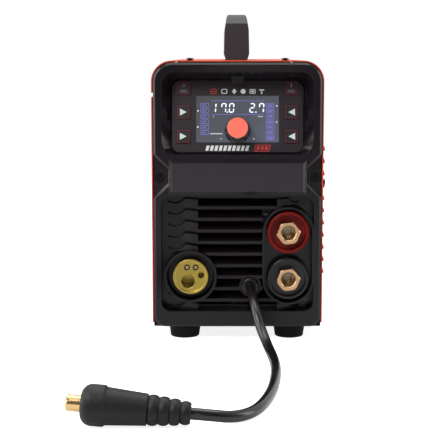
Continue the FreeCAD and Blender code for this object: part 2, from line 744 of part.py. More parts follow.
# ---- Rear bezel with the fan grille, switch, gland and gas openings ----
def rear_bezel():
    """The open-backed rear moulding: ringed fan grille, openings for the fittings and a shallow border step."""
    low, high = up(bezel_lift), top_z - bezel_inset
    radii = (bezel_low_radius, bezel_top_radius)
    outer = plate(rounded(bezel_half, low, high, *radii, y=rear - rear_depth), rear_depth)
    rim = [e for e in outer.Edges if abs(e.BoundBox.YMin - rear) < 0.01]
    outer = outer.makeChamfer(bezel_edge, rim)
    wall = bezel_wall
    inner = rounded(bezel_half - wall, low + wall, high - wall, *[r - wall for r in radii], y=rear - rear_depth - 1)
    body = outer.cut(plate(inner, rear_depth + 1 - bezel_face))
    border = rounded(bezel_half - 8, low + 8, high - 8, bezel_low_radius - 4, bezel_top_radius - 6, y=rear - 1.2)
    body = body.cut(plate(border, 2))
    along, y0 = (0, 1, 0), rear - bezel_face - 1
    hole = rod(fan_radius, (fan_x, y0, fan_z), along, bezel_face + 2)
    body = body.cut(hole)
    thick = bezel_face - 1.2
    rings = [tube(r + 1.1, r - 1.1, (fan_x, rear - bezel_face, fan_z), along, thick)
             for r in [fan_radius - 4.0 - 6.6 * i for i in range(5)]]
    spokes = []
    for i in range(4):
        bar = box(2.0, fan_radius + 0.5, rear - bezel_face, rear - bezel_face + thick, -1.4, 1.4)
        bar.rotate(V(0, 0, 0), V(0, 1, 0), 45 + 90 * i)
        bar.translate(V(fan_x, 0, fan_z))
        spokes.append(bar)
    hub = rod(fan_radius - 4.0 - 6.6 * 4, (fan_x, rear - bezel_face, fan_z), along, thick)
    body = fuse(body, *rings, *spokes, hub)
    cuts = [box(fan_x - switch_half - plate_gap, fan_x + switch_half + plate_gap, y0, rear + 1,
                switch_z - switch_tall - plate_gap, switch_z + switch_tall + plate_gap),
            rod(mains_radius + plate_gap, (mains_x, y0, low_fitting_z), along, bezel_face + 2),
            rod(gas_thread_radius + plate_gap, (gas_x, y0, low_fitting_z), along, bezel_face + 2)]
    cuts.append(rod(screw_radius + fit_gap, (half_width - 12, rear - cover_screw_back, up(side_screw_up)),
                    (1, 0, 0), 14))
    cuts += [rod(big_screw_radius + fit_gap, (s * foot_x, rear - foot_inset, base_z), (0, 0, 1), 8) for s in (-1, 1)]
    for spot in rear_screw_spots:
        cuts.append(rod(screw_radius + fit_gap, (spot[0], y0, spot[1]), along, bezel_face + 2))
    tray_zone = box(-half_width, half_width, rear - rear_depth - 1, rear - cover_setback, base_z, up(tray_wall) + 0.7)
    core = plate(rounded(bezel_half - wall, up(tray_floor_top), top_z, 1, 1, y=rear - rear_depth - 2), rear_depth + 4)
    cuts.append(tray_zone.cut(core))
    cuts.append(box(-half_width, half_width, rear - rear_depth - 1, rear - cover_setback, 0, up(tray_floor_top)))
    return body.cut(Part.makeCompound(cuts))


def handle():
    """The bridge handle: a swept-back frame with soft edges, two feet on the cover and a raised grip."""
    y0, y1 = front + handle_front, front + handle_front + handle_length
    z0, z1 = top_z, top_z + handle_height
    lean, post, grip = handle_lean, handle_post, handle_grip
    outline = [(0, y0, z0), (0, y0 + lean * 0.55, z1 - 9), (0, y0 + lean, z1 - 3), (0, y0 + lean + 12, z1),
               (0, y1 - lean - 12, z1), (0, y1 - lean, z1 - 3), (0, y1 - lean * 0.55, z1 - 9), (0, y1, z0)]
    body = prism([(-handle_width / 2, y, z) for _, y, z in outline], (handle_width, 0, 0))
    gap = [(y0 + post, z0 - 1), (y0 + post + lean * 0.5, z1 - grip - 6), (y0 + post + lean, z1 - grip),
           (y1 - post - lean, z1 - grip), (y1 - post - lean * 0.5, z1 - grip - 6), (y1 - post, z0 - 1)]
    body = body.cut(prism([(-handle_width, y, z) for y, z in gap], (2 * handle_width, 0, 0)))
    wide, thin = handle_width / 2, handle_top_width / 2
    half = [(wide - 2.0, z0), (wide, z0 + 6), (wide - 0.4, z1 - 15), (wide - 1.2, z1 - 10), (thin + 0.7, z1 - 4.5),
            (thin, z1 - 1.4), (thin - 1.4, z1)]
    across = [(x, y0, z) for x, z in half] + [(-x, y0, z) for x, z in reversed(half)]
    body = body.common(prism(across, (0, y1 - y0, 0)))
    holes = [rod(big_screw_radius + 0.05, (0, y, z0 - 1), (0, 0, 1), big_length) for y in handle_screw_y]
    return body.cut(Part.makeCompound(holes))


# ---- Fasteners ----
def case_screws():
    """The pan-head screws of the cover and both bezels."""
    sets = [((x, front + cover_screw_back, top_z), (0, 0, -1)) for x in (-top_screw_x, top_screw_x)]
    for y in (front + cover_screw_back, rear - cover_screw_back):
        sets.append(((half_width, y, up(side_screw_up)), (-1, 0, 0)))
    sets += [((s * bezel_screw_x, front + pocket_depth + 1.2, up(bezel_screw_up)), (0, 1, 0)) for s in (-1, 1)]
    sets += [((x, rear - 1.2, z), (0, -1, 0)) for x, z in rear_screw_spots]
    return [pan_screw(seat, along, screw_radius, screw_head, screw_rise, screw_length) for seat, along in sets]


def large_screws():
    """The larger screws: up through the feet into the tray, and up through the cover into the handle."""
    seats = [(x, y, foot_height - 3) for x in (-foot_x, foot_x) for y in foot_y]
    screws = [pan_screw(s, (0, 0, 1), big_screw_radius, big_head, screw_rise, big_length - 6) for s in seats]
    tops = [(0, y, top_z - sheet) for y in handle_screw_y]
    return screws + [pan_screw(s, (0, 0, 1), big_screw_radius, big_head, screw_rise, big_length - 1) for s in tops]


handle_screw_y = [front + handle_front + 13.0, front + handle_front + handle_length - 13.0]
rear_screw_spots = [(s * rear_screw_x, z) for s in (-1, 1) for z in (up(rear_screw_low), up(rear_screw_high))]

save("base_tray", base_tray())
save("divider_plate", divider_plate())
save("rubber_feet", *[rubber_foot(x, y) for x in (-foot_x, foot_x) for y in foot_y])
save("cover", cover())
save("side_door", side_door())
save("hinge_leaves", *[hinge_half(z, upper=False) for z in hinge_heights])
save("door_latch", door_latch())
save("rear_bezel", rear_bezel())
save("handle", handle())
save("case_screws", *case_screws())
save("foot_and_handle_screws", *large_screws())


# ---- Control unit on the sloping panel ----
def control_overlay():
    """The facing sheet on the panel floor, with windows for the display, the keys and the knob's bush."""
    half, low, high = panel_half - overlay_margin, overlay_margin, panel_length - overlay_margin
    sheet_part = plate(rounded(half, low, high, panel_radius - overlay_margin, panel_radius - overlay_margin,
                               y=-overlay_thick), overlay_thick)
    cuts = [box(-lens_half - fit_gap, lens_half + fit_gap, -2, 1, lens_low - fit_gap, lens_high + fit_gap)]
    k = key_size / 2 + key_gap
    cuts += [box(s * key_columns - k, s * key_columns + k, -2, 1, row - k, row + k)
             for s in (-1, 1) for row in key_rows]
    return on_panel(sheet_part.cut(Part.makeCompound(cuts)))


def display_lens():
    lens = box(-lens_half, lens_half, -overlay_thick, 0, lens_low, lens_high)
    return on_panel(lens.cut(rod(bush_radius + plate_gap, (0, -2, knob_up), (0, 1, 0), 3)))


def display_module():
    """The display glass on its frame behind the window, notched round the encoder."""
    low, high = knob_up + skirt_radius - 2, lens_high + 2
    back = board_gap - plate_gap
    return on_panel(box(-lens_half + 0.5, lens_half - 0.5, panel_floor + plate_gap, back, low, high))


def control_board():
    """The circuit board on the moulding's four posts."""
    board = box(-board_half, board_half, board_gap, board_gap + board_thick, board_low, board_high)
    return on_panel(board)


def key_cap(side, row):
    """A square key: its cap passes the window, a lip holds it behind the floor, and a stem meets the switch."""
    x, half = side * key_columns, key_size / 2
    cap = box(x - half, x + half, -overlay_thick - key_proud, panel_floor + plate_gap, row - half, row + half)
    front_edges = [e for e in cap.Edges if e.BoundBox.YMax < -overlay_thick - key_proud + 0.01]
    cap = cap.makeFillet(0.6, front_edges)
    lip = box(x - half - key_lip, x + half + key_lip, panel_floor + plate_gap, panel_floor + plate_gap + 1.2,
              row - half, row + half)
    stem_end = board_gap - switch_height - key_travel - 0.1
    stem = rod(1.6, (x, panel_floor, row), (0, 1, 0), stem_end - panel_floor)
    return on_panel(fuse(cap, lip, stem))


def key_switch(side, row):
    """The small push switch on the board behind a key."""
    x, half = side * key_columns, 3.0
    body = box(x - half, x + half, board_gap - switch_height + 0.8, board_gap, row - half, row + half)
    return on_panel(body.fuse(rod(1.5, (x, board_gap - switch_height, row), (0, 1, 0), 1)).removeSplitter())


def encoder():
    """The rotary encoder: a square body on the board, and a bush through the panel floor."""
    back = board_gap
    body = box(-6, 6, panel_floor + plate_gap, back, knob_up - 6, knob_up + 6)
    bush = rod(bush_radius, (0, -3, knob_up), (0, 1, 0), 4 + panel_floor)
    bore = rod(shaft_radius + 0.05, (0, -4, knob_up), (0, 1, 0), 8.0)
    return on_panel(body.fuse(bush).removeSplitter().cut(bore))


def encoder_shaft():
    """The turning shaft, held in the encoder's bush, with a flat for the knob."""
    length = knob_height - 5.0
    shaft = rod(shaft_radius, (0, -length, knob_up), (0, 1, 0), length + 3.6)
    return on_panel(shaft.cut(box(-4, 4, -length - 1, -length + 8, knob_up + shaft_radius - 1.2, knob_up + 4)))


def knob_body():
    """The black knob: a fluted, flared skirt and a straight grip, with a D bore and a seat for the cap."""
    seat, top = -overlay_thick - 0.5, -knob_height + 1.5
    profile = [V(0, seat, knob_up), V(skirt_radius, seat, knob_up), V(skirt_radius, seat - 1.6, knob_up),
               V(knob_radius + 0.9, -skirt_height, knob_up), V(knob_radius, top, knob_up), V(0, top, knob_up)]
    profile = [V(p.x, p.y, knob_up) for p in profile]
    face = Part.Face(Part.makePolygon(profile + profile[:1]))
    body = face.revolve(V(0, 0, knob_up), V(0, 1, 0), 360)
    flutes = []
    for i in range(knob_flutes):
        a = 2 * math.pi * i / knob_flutes
        spot = (skirt_radius * 1.02 * math.sin(a), seat + 1, knob_up + skirt_radius * 1.02 * math.cos(a))
        flutes.append(rod(0.55, spot, (0, -1, 0), skirt_height))
    body = body.cut(Part.makeCompound(flutes))
    bore = rod(shaft_radius + 0.03, (0, 1, knob_up), (0, -1, 0), knob_height - 3)
    flat = box(-4, 4, -knob_height, -knob_height + 13, knob_up + shaft_radius - 1.15, knob_up + 5)
    clear = rod(bush_radius + plate_gap, (0, 1, knob_up), (0, -1, 0), 4.5)
    return on_panel(body.cut(bore.cut(flat)).cut(clear))


def knob_cap():
    """The coloured disc pressed on the knob's end, with a soft edge."""
    cap = rod(knob_radius, (0, -knob_height, knob_up), (0, 1, 0), 1.5)
    return on_panel(cap.makeFillet(0.5, [e for e in cap.Edges if e.BoundBox.YMax < -knob_height + 0.01]))


# ---- Torch connector ----
def euro_at(offset=(0, 0)):
    return euro_x + offset[0], feed_z + offset[1]


def euro_insulator():
    """The insulating flange inside the collar that carries the brass block."""
    x, z = euro_at()
    seat = front + grille_depth
    flange = rod(euro_collar_bore - plate_gap, (x, seat - 4, z), (0, 1, 0), 4)
    flange = flange.makeFillet(1.2, [e for e in flange.Edges if abs(e.BoundBox.YMax - seat + 4) < 0.01])
    nut = rod(euro_brass_radius + 4, (x, seat + panel_floor + fit_gap, z), (0, 1, 0), 6)
    bore = rod(euro_brass_radius + fit_gap, (x, front, z), (0, 1, 0), 60)
    return flange.cut(bore), nut.cut(bore)


def euro_block():
    """The brass connector block: rimmed face, liner and gas holes, pin holes, and a stem to the feeder."""
    x, z = euro_at()
    y0, along = front + euro_back, (0, 1, 0)
    block = rod(euro_brass_radius, (x, y0, z), along, 34)
    block = block.makeFillet(0.8, [e for e in block.Edges if abs(e.BoundBox.YMax - y0) < 0.01])
    stem = rod(euro_stem_radius, (x, y0 + 33, z), along, euro_reach - euro_back - 33)
    block = block.fuse(stem).removeSplitter()
    cuts = [rod(euro_face_radius, (x, y0 - 1, z), along, 1 + euro_face_depth)]
    lx, lz = euro_at(liner_offset)
    cuts.append(rod(liner_radius, (lx, y0, lz), along, 22))
    cuts.append(rod(2.0, (x, y0, z), along, euro_reach))
    gx, gz = euro_at(gas_hole_offset)
    cuts.append(rod(gas_hole_radius, (gx, y0, gz), along, 24))
    for offset in contact_offsets:
        px, pz = euro_at(offset)
        cuts.append(rod(contact_ring + fit_gap, (px, y0, pz), along, 14))
    return block.cut(Part.makeCompound(cuts))


def euro_contacts():
    """The two trigger contacts, each a sleeve in its insulating bush."""
    pieces = []
    for offset in contact_offsets:
        x, z = euro_at(offset)
        y = front + euro_back + euro_face_depth + 0.4
        pieces.append(tube(contact_ring, contact_radius, (x, y, z), (0, 1, 0), 11.5))
    return pieces


def euro_pins():
    pieces = []
    for offset in contact_offsets:
        x, z = euro_at(offset)
        y = front + euro_back + euro_face_depth + 0.1
        pieces.append(tube(contact_radius - 0.05, 0.8, (x, y, z), (0, 1, 0), 11.5))
    return pieces


# ---- Panel sockets ----
def socket_bush(height):
    """The insulating bush of a panel socket: a stepped front ring on the moulding, and a shank through it."""
    z, seat, along = up(height), front + grille_depth, (0, 1, 0)
    y0 = front + bush_front
    ring = rod(bush_outer, (socket_x, y0, z), along, seat - y0)
    ring = ring.makeFillet(1.5, [e for e in ring.Edges if abs(e.BoundBox.YMax - y0) < 0.01])
    ring = ring.cut(rod(bush_step, (socket_x, y0 - 1, z), along, 1 + bush_step_depth))
    body = ring.fuse(rod(bush_shank, (socket_x, seat - 1, z), along, 1 + bush_back))
    return body.removeSplitter().cut(rod(stem_radius + fit_gap, (socket_x, front - 5, z), along, 60))


def panel_socket(height):
    """The brass socket: a hexagon seated in the bush, a round stem behind, and the plug's bore with its key slot."""
    z, y0, along = up(height), front + bush_front + bush_step_depth - hex_length, (0, 1, 0)
    across = hex_flats / math.sqrt(3)
    corners = [(socket_x + across * math.cos(math.radians(60 * i + hex_turn)), y0,
                z + across * math.sin(math.radians(60 * i + hex_turn))) for i in range(6)]
    hexagon = prism(corners, (0, hex_length, 0))
    cone = Part.makeCone(across - 1.2, across + 2.2, 3.4, V(socket_x, y0, z), V(*along))
    lead_in = rod(across + 2.2, (socket_x, y0 + 3.4, z), along, hex_length)
    stem = rod(stem_radius, (socket_x, y0 + hex_length - 1, z), along, bush_back + stem_back)
    body = hexagon.common(cone.fuse(lead_in)).fuse(stem).removeSplitter()
    body = body.cut(rod(socket_bore, (socket_x, y0 - 1, z), along, 1 + bore_depth))
    mouth = Part.makeCone(socket_bore + 1.0, socket_bore, 1.0, V(socket_x, y0, z), V(*along))
    pocket = rod(bolt_radius + 0.4, (socket_x, y0, z), along, bolt_seat)
    return body.cut(mouth).cut(pocket).cut(rod(bolt_radius - 1.1, (socket_x, y0, z), along, hex_length + bush_back + stem_back))


def socket_bolt(height):
    """The hexagon-socket bolt inside a panel socket that holds the cable lug behind."""
    z, y0, along = up(height), front + bush_front + bush_step_depth - hex_length, (0, 1, 0)
    head = rod(bolt_radius, (socket_x, y0 + bolt_seat - 4.2, z), along, 4.0)
    head = head.cut(rod(2.2, (socket_x, y0 + bolt_seat - 5, z), along, 2.5))
    shank = rod(bolt_radius - 1.25, (socket_x, y0 + bolt_seat - 1, z), along, 26)
    return head.fuse(shank).removeSplitter()


for_panel = {"left": -1, "right": 1}
save("control_overlay", control_overlay())
save("display_lens", display_lens())
save("display_module", display_module())
save("control_board", control_board())
save("key_switches", *[key_switch(s, row) for s in (-1, 1) for row in key_rows])
for side_name, side in for_panel.items():
    for place, row in zip(("low", "middle", "top"), key_rows):
        save(f"key_{side_name}_{place}", key_cap(side, row))
save("encoder", encoder())
save("encoder_shaft", encoder_shaft())
save("knob_body", knob_body())
save("knob_cap", knob_cap())
save("euro_insulator", *euro_insulator())
save("euro_block", euro_block())
save("euro_contacts", *euro_contacts(), *euro_pins())
save("positive_bush", socket_bush(socket_high))
save("negative_bush", socket_bush(socket_low))
save("panel_sockets", panel_socket(socket_high), panel_socket(socket_low))
save("socket_bolts", socket_bolt(socket_high), socket_bolt(socket_low))


# ---- Polarity lead: gland, lead, plug ----
def cable_gland():
    """The lead's gland: a domed nut in front of the grille, and a threaded neck through the moulding."""
    y0, z, along = front + slat_front - gland_reach, up(gland_up), (0, 1, 0)
    nut = rod(gland_radius, (gland_x, y0, z), along, gland_reach - fit_gap)
    nut = nut.makeFillet(2.2, [e for e in nut.Edges if abs(e.BoundBox.YMax - y0) < 0.01])
    neck = rod(gland_radius - 1.5, (gland_x, y0 + 1, z), along, grille_depth + panel_floor - slat_front + 12)
    lock_nut = rod(gland_radius + 1.5, (gland_x, front + grille_depth + panel_floor + fit_gap, z), along, 4)
    seat = rod(lead_diameter / 2 + 0.3, (gland_x, y0 - 1, z), along, 1.4)
    return fuse(nut, neck, lock_nut).cut(seat)


lead_route = [(0, 0, 51.1), (0.3, -20, 50.3), (3.1, -40.5, 38.2), (8.8, -54, 21), (14.8, -71.5, 8.6),
              (18.5, -96, 4.7), (19.1, -127.5, 4.7), (17.1, -163, 4.7), (13, -198, 4.7), (7, -227, 4.7),
              (0.5, -249, 4.7), (-8.5, -265, 4.7), (-21, -275, 5.6), (-35.1, -279.7, 8.45),
              (-50, -279.3, 9.7)]
lead_start_y = front + slat_front - gland_reach
lead_points = [V(gland_x + x, lead_start_y + y, z) for x, y, z in lead_route]
plug_way = (lead_points[-1] - lead_points[-2]).normalize()


def lead_wire():
    """Straight runs joined by tangent arcs, each as large as its two runs allow."""
    edges, at, smallest = [], lead_points[0], 1e9
    for before, corner, after in zip(lead_points, lead_points[1:], lead_points[2:]):
        into, out = (corner - before), (after - corner)
        half_turn = into.getAngle(out) / 2
        cut = 0.45 * min(into.Length, out.Length)
        radius = cut / math.tan(half_turn)
        smallest = min(smallest, radius)
        into.normalize()
        out.normalize()
        first, last = corner - into * cut, corner + out * cut
        inward = (out - into).normalize()
        middle = corner + inward * (radius / math.cos(half_turn) - radius)
        edges += [Part.LineSegment(at, first).toShape(), Part.Arc(first, middle, last).toShape()]
        at = last
    edges.append(Part.LineSegment(at, lead_points[-1]).toShape())
    print(f"lead: {sum(e.Length for e in edges):.1f} mm long, smallest radius {smallest:.1f} mm")
    return Part.Wire(edges)


def polarity_cable():
    path = lead_wire()
    ring = Part.Wire(Part.Circle(lead_points[0], lead_points[1] - lead_points[0], lead_diameter / 2).toShape())
    tube_part = path.makePipeShell([ring], True, False)
    expected = math.pi * lead_diameter ** 2 / 4 * path.Length
    print(f"lead: volume {tube_part.Volume:.0f}, section times length {expected:.0f} mm3")
    return tube_part


def along_plug(shape):
    """Turns a shape modelled along +X from the origin to lie along the plug, from the lead's end."""
    shape = shape.copy()
    turn = FreeCAD.Rotation(V(1, 0, 0), plug_way)
    shape.Placement = FreeCAD.Placement(lead_points[-1], turn).multiply(shape.Placement)
    return shape


def plug_sleeve():
    """The rubber sleeve: a round collar, a step, a long taper and four ribs down to the lead."""
    r, length = plug_radius, plug_length
    nose = V(length, 0, r - 7)
    collar_end, cone_end = length - 17, rib_count * rib_pitch
    cone_front, cone_back = r - 1.3, r - 3.6
    points = [V(cone_end, 0, cone_back), V(collar_end - 2, 0, cone_front), V(collar_end, 0, r), V(length - 8, 0, r)]
    edges = [Part.makeLine(a, b) for a, b in zip(points, points[1:])]
    edges.append(Part.Arc(points[-1], V(length - 2.2, 0, r - 2.6), nose).toShape())
    edges += [Part.makeLine(nose, V(length, 0, 0)), Part.makeLine(V(length, 0, 0), V(0, 0, 0))]
    at = V(0, 0, 0)
    for i in range(rib_count):
        out = plug_rear_radius + (cone_back - plug_rear_radius) * math.sqrt((i + 0.6) / rib_count)
        low, high = out - 1.3, out
        x0, x1 = i * rib_pitch, (i + 1) * rib_pitch
        edges.append(Part.makeLine(at, V(x0, 0, low)))
        edges.append(Part.Arc(V(x0, 0, low), V((x0 + x1) / 2, 0, high), V(x1, 0, low)).toShape())
        at = V(x1, 0, low)
    edges.append(Part.makeLine(at, points[0]))
    body = Part.Face(Part.Wire(Part.__sortEdges__(edges))).revolve(V(0, 0, 0), V(1, 0, 0), 360)
    socket = Part.makeCylinder(pin_radius, pin_seat, V(length - pin_seat, 0, 0), V(1, 0, 0))
    recess = Part.makeCylinder(pin_radius + 3.2, 1.0, V(length - 1.0, 0, 0), V(1, 0, 0))
    return along_plug(body.cut(socket).cut(recess))


def plug_pin():
    """The brass plug pin with its twist lug and a centring groove in the tip."""
    pin = Part.makeCylinder(pin_radius, pin_seat + pin_show, V(plug_length - pin_seat, 0, 0), V(1, 0, 0))
    tip = plug_length + pin_show
    pin = pin.makeChamfer(1.2, [e for e in pin.Edges if e.BoundBox.XMin > tip - 0.01])
    slot = Part.makeBox(4, 2 * pin_radius + 2, 1.6, V(tip - 3, -pin_radius - 1, -0.8))
    return along_plug(pin.cut(slot))


# ---- Wire feeder and spool hub ----
def feeder_plate():
    """The feeder's casting on the divider: a plate, two guide pillars and the ears of the arm and the lever."""
    x1 = divider_x
    x0 = x1 - feeder_thick
    low, high = drive_axis_z - 26, feed_z + 42
    body = box(x0, x1, feed_y - 34, feed_y + 36, low, high)
    body = body.makeFillet(5, [e for e in body.Edges if e.BoundBox.XLength > 1])
    for y in (feed_y - 33, feed_y + 19):
        body = body.fuse(box(euro_x - 7, x0, y, y + 13, feed_z - 7, feed_z + 6))
        body = body.cut(rod(guide_radius, (euro_x, y - 1, feed_z), (0, 1, 0), 15))
    body = body.cut(rod(motor_neck + plate_gap, (x0 - 1, feed_y, drive_axis_z), (1, 0, 0), feeder_thick + 2))
    arm_pin = rod(arm_pin_radius, (arm_x - arm_thick - 1, arm_pivot_y, arm_pivot_z), (1, 0, 0), x0 - arm_x + arm_thick + 1.5)
    ear = rod(7.0, (arm_x + plate_gap, arm_pivot_y, arm_pivot_z), (1, 0, 0), x0 - arm_x - plate_gap + 0.5)
    lever_pin = rod(arm_pin_radius, (lever_x - 8, lever_y, lever_z), (1, 0, 0), x0 - lever_x + 8.5)
    lever_ear = rod(5.5, (lever_x + 5 + plate_gap, lever_y, lever_z), (1, 0, 0), x0 - lever_x - 5 - plate_gap + 0.5)
    return fuse(body, arm_pin, ear, lever_pin, lever_ear)


def wire_guides():
    """The brass wire guides in the two pillars."""
    guides = []
    for y, length in ((feed_y - 33 - 4, 22.0), (feed_y + 17, 26.0)):
        guide = rod(guide_radius - 0.05, (euro_x, y, feed_z), (0, 1, 0), length)
        guides.append(guide.cut(rod(wire_radius + 0.3, (euro_x, y - 1, feed_z), (0, 1, 0), length + 2)))
    return guides


def feed_motor():
    """The gear motor behind the divider: gearbox, can, end cap and the neck that centres it."""
    x0, along = divider_x + sheet, (1, 0, 0)
    box_part = rod(motor_radius, (x0, feed_y, drive_axis_z), along, gearbox_length)
    can = rod(motor_radius - 4, (x0 + gearbox_length - 1, feed_y, drive_axis_z), along, motor_length + 1)
    can = can.makeFillet(3, [e for e in can.Edges if e.BoundBox.XMin > x0 + gearbox_length + motor_length - 1.1])
    neck = rod(motor_neck, (x0 - feeder_thick - sheet, feed_y, drive_axis_z), along, feeder_thick + sheet + 1)
    body = fuse(box_part, can, neck)
    return body.cut(rod(roll_shaft + 0.05, (x0 - feeder_thick - 5, feed_y, drive_axis_z), along, feeder_thick + 14))


def drive_roll():
    """The grooved drive roll, and the shaft that it is keyed to."""
    x0, along = euro_x - roll_width / 2, (1, 0, 0)
    roll = rod(roll_radius, (x0, feed_y, drive_axis_z), along, roll_width)
    groove = Part.makeTorus(roll_radius + 0.2, 0.7, V(euro_x, feed_y, drive_axis_z), V(*along))
    roll = roll.cut(groove)
    hub = rod(8.0, (x0 + roll_width - 1, feed_y, drive_axis_z), along, 9.0)
    shaft = rod(roll_shaft, (x0 - 6, feed_y, drive_axis_z), along, divider_x - x0 + 14)
    cap = rod(9.0, (x0 - 7, feed_y, drive_axis_z), along, 7.2)
    return fuse(roll, hub, shaft, cap)


def pressure_arm():
    """The cast arm over the rolls: a pivot boss, a bent web, the roller's pin and a forked nose for the lever."""
    roller_z = feed_z + wire_radius + roller_radius
    outline = [(arm_pivot_y + 7, arm_pivot_z - 4), (arm_pivot_y + 6, arm_pivot_z + 7), (feed_y, arm_top),
               (lever_y - 3, arm_top), (lever_y - 3, arm_top - 8), (feed_y - 8, arm_top - 8), (feed_y - 6, roller_z - 5),
               (feed_y + 6, roller_z - 5), (arm_pivot_y - 8, arm_pivot_z - 6)]
    web = prism([(arm_x - arm_thick, y, z) for y, z in outline], (arm_thick, 0, 0))
    boss = rod(7.5, (arm_x - arm_thick, arm_pivot_y, arm_pivot_z), (1, 0, 0), arm_thick)
    pin = rod(3.0, (euro_x - roll_width / 2 - 1.5, feed_y, roller_z), (1, 0, 0), arm_x - euro_x + roll_width / 2)
    web = fuse(web, boss, pin)
    slot = box(lever_x - lever_rod - 0.7, lever_x + lever_rod + 0.7, lever_y - 9, lever_y + 4, arm_top - 10, arm_top + 1)
    bore = rod(arm_pin_radius + 0.05, (arm_x - arm_thick - 1, arm_pivot_y, arm_pivot_z), (1, 0, 0), arm_thick + 2)
    return web.cut(slot).cut(bore)


def pressure_roller():
    x0, z = euro_x - roll_width / 2, feed_z + wire_radius + roller_radius
    roller = rod(roller_radius, (x0, feed_y, z), (1, 0, 0), roll_width)
    return roller.cut(rod(3.05, (x0 - 1, feed_y, z), (1, 0, 0), roll_width + 2))


def tension_lever():
    """The swing lever: an eye on its pin, a rod, and the fluted tension knob, modelled upright and swung open."""
    eye = rod(5.0, (lever_x - 5, lever_y, lever_z), (1, 0, 0), 10)
    stem = rod(lever_rod, (lever_x, lever_y, lever_z), (0, 0, 1), arm_top - lever_z + 30)
    knob = Part.makeCone(7.0, 9.0, 6, V(lever_x, lever_y, arm_top + lever_gap), V(0, 0, 1))
    knob = knob.fuse(rod(9.0, (lever_x, lever_y, arm_top + lever_gap + 6), (0, 0, 1), 18)).removeSplitter()
    flutes = [rod(1.2, (lever_x + 9.4 * math.cos(a), lever_y + 9.4 * math.sin(a), arm_top), (0, 0, 1), 30)
              for a in [2 * math.pi * i / 10 for i in range(10)]]
    lever = fuse(eye, stem, knob.cut(Part.makeCompound(flutes)))
    lever = lever.cut(rod(arm_pin_radius + 0.05, (lever_x - 6, lever_y, lever_z), (1, 0, 0), 12))
    lever.rotate(V(lever_x, lever_y, lever_z), V(1, 0, 0), lever_swing)
    return lever


def spool_hub():
    """The spool adapter: a plain drum with a back flange and a drive pin, turning on the hub axle."""
    x1, along = divider_x - 6.0, (-1, 0, 0)
    drum = rod(hub_radius, (x1, hub_y, hub_z), along, hub_length)
    drum = drum.makeChamfer(2.0, [e for e in drum.Edges if e.BoundBox.XMax < x1 - hub_length + 0.01])
    flange = rod(hub_radius + 9, (x1, hub_y, hub_z), along, 4)
    peg = rod(3.0, (x1 - 3.5, hub_y + hub_radius + 5.8, hub_z), along, 12)
    drum = fuse(drum, flange, peg)
    return drum.cut(rod(hub_axle_radius + 0.05, (x1 + 1, hub_y, hub_z), along, hub_length + 2))


def hub_axle():
    """The fixed axle: a flange on the divider, a journal for the hub and a threaded end for the nut."""
    along = (-1, 0, 0)
    flange = rod(16.0, (divider_x, hub_y, hub_z), along, 5.5)
    axle = rod(hub_axle_radius, (divider_x - 5, hub_y, hub_z), along, hub_length + 9.5)
    stud = rod(hub_bolt - 0.3, (divider_x + sheet + 6, hub_y, hub_z), along, 10)
    back_nut = rod(9.0, (divider_x + sheet + 5.6, hub_y, hub_z), along, 5.5)
    return fuse(flange, axle, stud, back_nut)


def hub_nut():
    """The hand nut that keeps the spool on: a ring with three lobes."""
    x1, along = divider_x - 6.0 - hub_length - plate_gap, (-1, 0, 0)
    nut = rod(13.0, (x1, hub_y, hub_z), along, 7.0)
    lobes = [rod(6.0, (x1, hub_y + 12 * math.cos(a), hub_z + 12 * math.sin(a)), along, 7.0)
             for a in [2 * math.pi * i / 3 for i in range(3)]]
    return fuse(nut, *lobes).cut(rod(hub_axle_radius + 0.05, (x1 + 1, hub_y, hub_z), along, 9))


arm_pivot_y = feed_y + arm_back
arm_pivot_z = feed_z + arm_pivot_rise
arm_x = euro_x + 15.0
arm_top = feed_z + 2 * wire_radius + 2 * roller_radius + 6
lever_y = feed_y - lever_front
lever_z = feed_z + lever_rise
lever_x = arm_x - arm_thick / 2
save("cable_gland", cable_gland())
save("polarity_cable", polarity_cable())
save("plug_sleeve", plug_sleeve())
save("plug_pin", plug_pin())
save("feeder_plate", feeder_plate())
save("wire_guides", *wire_guides())
save("feed_motor", feed_motor())
save("drive_roll", drive_roll())
save("pressure_arm", pressure_arm())
save("pressure_roller", pressure_roller())
save("tension_lever", tension_lever())
save("spool_hub", spool_hub())
save("hub_axle", hub_axle())
save("hub_nut", hub_nut())


# ---- Electronics, carried by the divider and the tray ----
def power_board():
    x0 = divider_x + sheet + standoff
    board = box(x0, x0 + board_thick, power_y0, power_y1, power_z0, power_z1)
    holes = [rod(1.8, (x0 - 1, y, z), (1, 0, 0), board_thick + 2) for y, z in standoff_spots]
    return board.cut(Part.makeCompound(holes))


def heat_sink(y, z):
    """An extruded aluminium heat sink: a base on the board and fins along the airflow."""
    x0 = divider_x + sheet + standoff + board_thick
    profile = [box(x0, x0 + sink_base, y, y + sink_length, z, z + sink_tall)]
    step = (sink_tall - sink_fin) / (sink_fins - 1)
    fins = [box(x0, x0 + sink_reach, y, y + sink_length, z + i * step, z + i * step + sink_fin)
            for i in range(sink_fins)]
    return fuse(*profile, *fins)


def transformer():
    """The ferrite transformer: an E-shaped core pair round a wound bobbin, on the tray."""
    x0, y0, z0 = 20.0, power_y0 + 16, up(sheet)
    x1, y1, z1 = x0 + core_width, y0 + core_length, z0 + core_height
    core = box(x0, x1, y0, y1, z0, z1).cut(box(x0 + 10, x1 - 10, y0 + 12, y1 - 12, z0 - 1, z1 + 1))
    coil = box(x0 - 5, x1 + 5, y0 + 12.3, y1 - 12.3, z0 + 5, z1 - 5)
    coil = coil.makeFillet(5, [e for e in coil.Edges if e.BoundBox.ZLength > 20 or e.BoundBox.YLength > 20])
    return core.cut(coil), coil


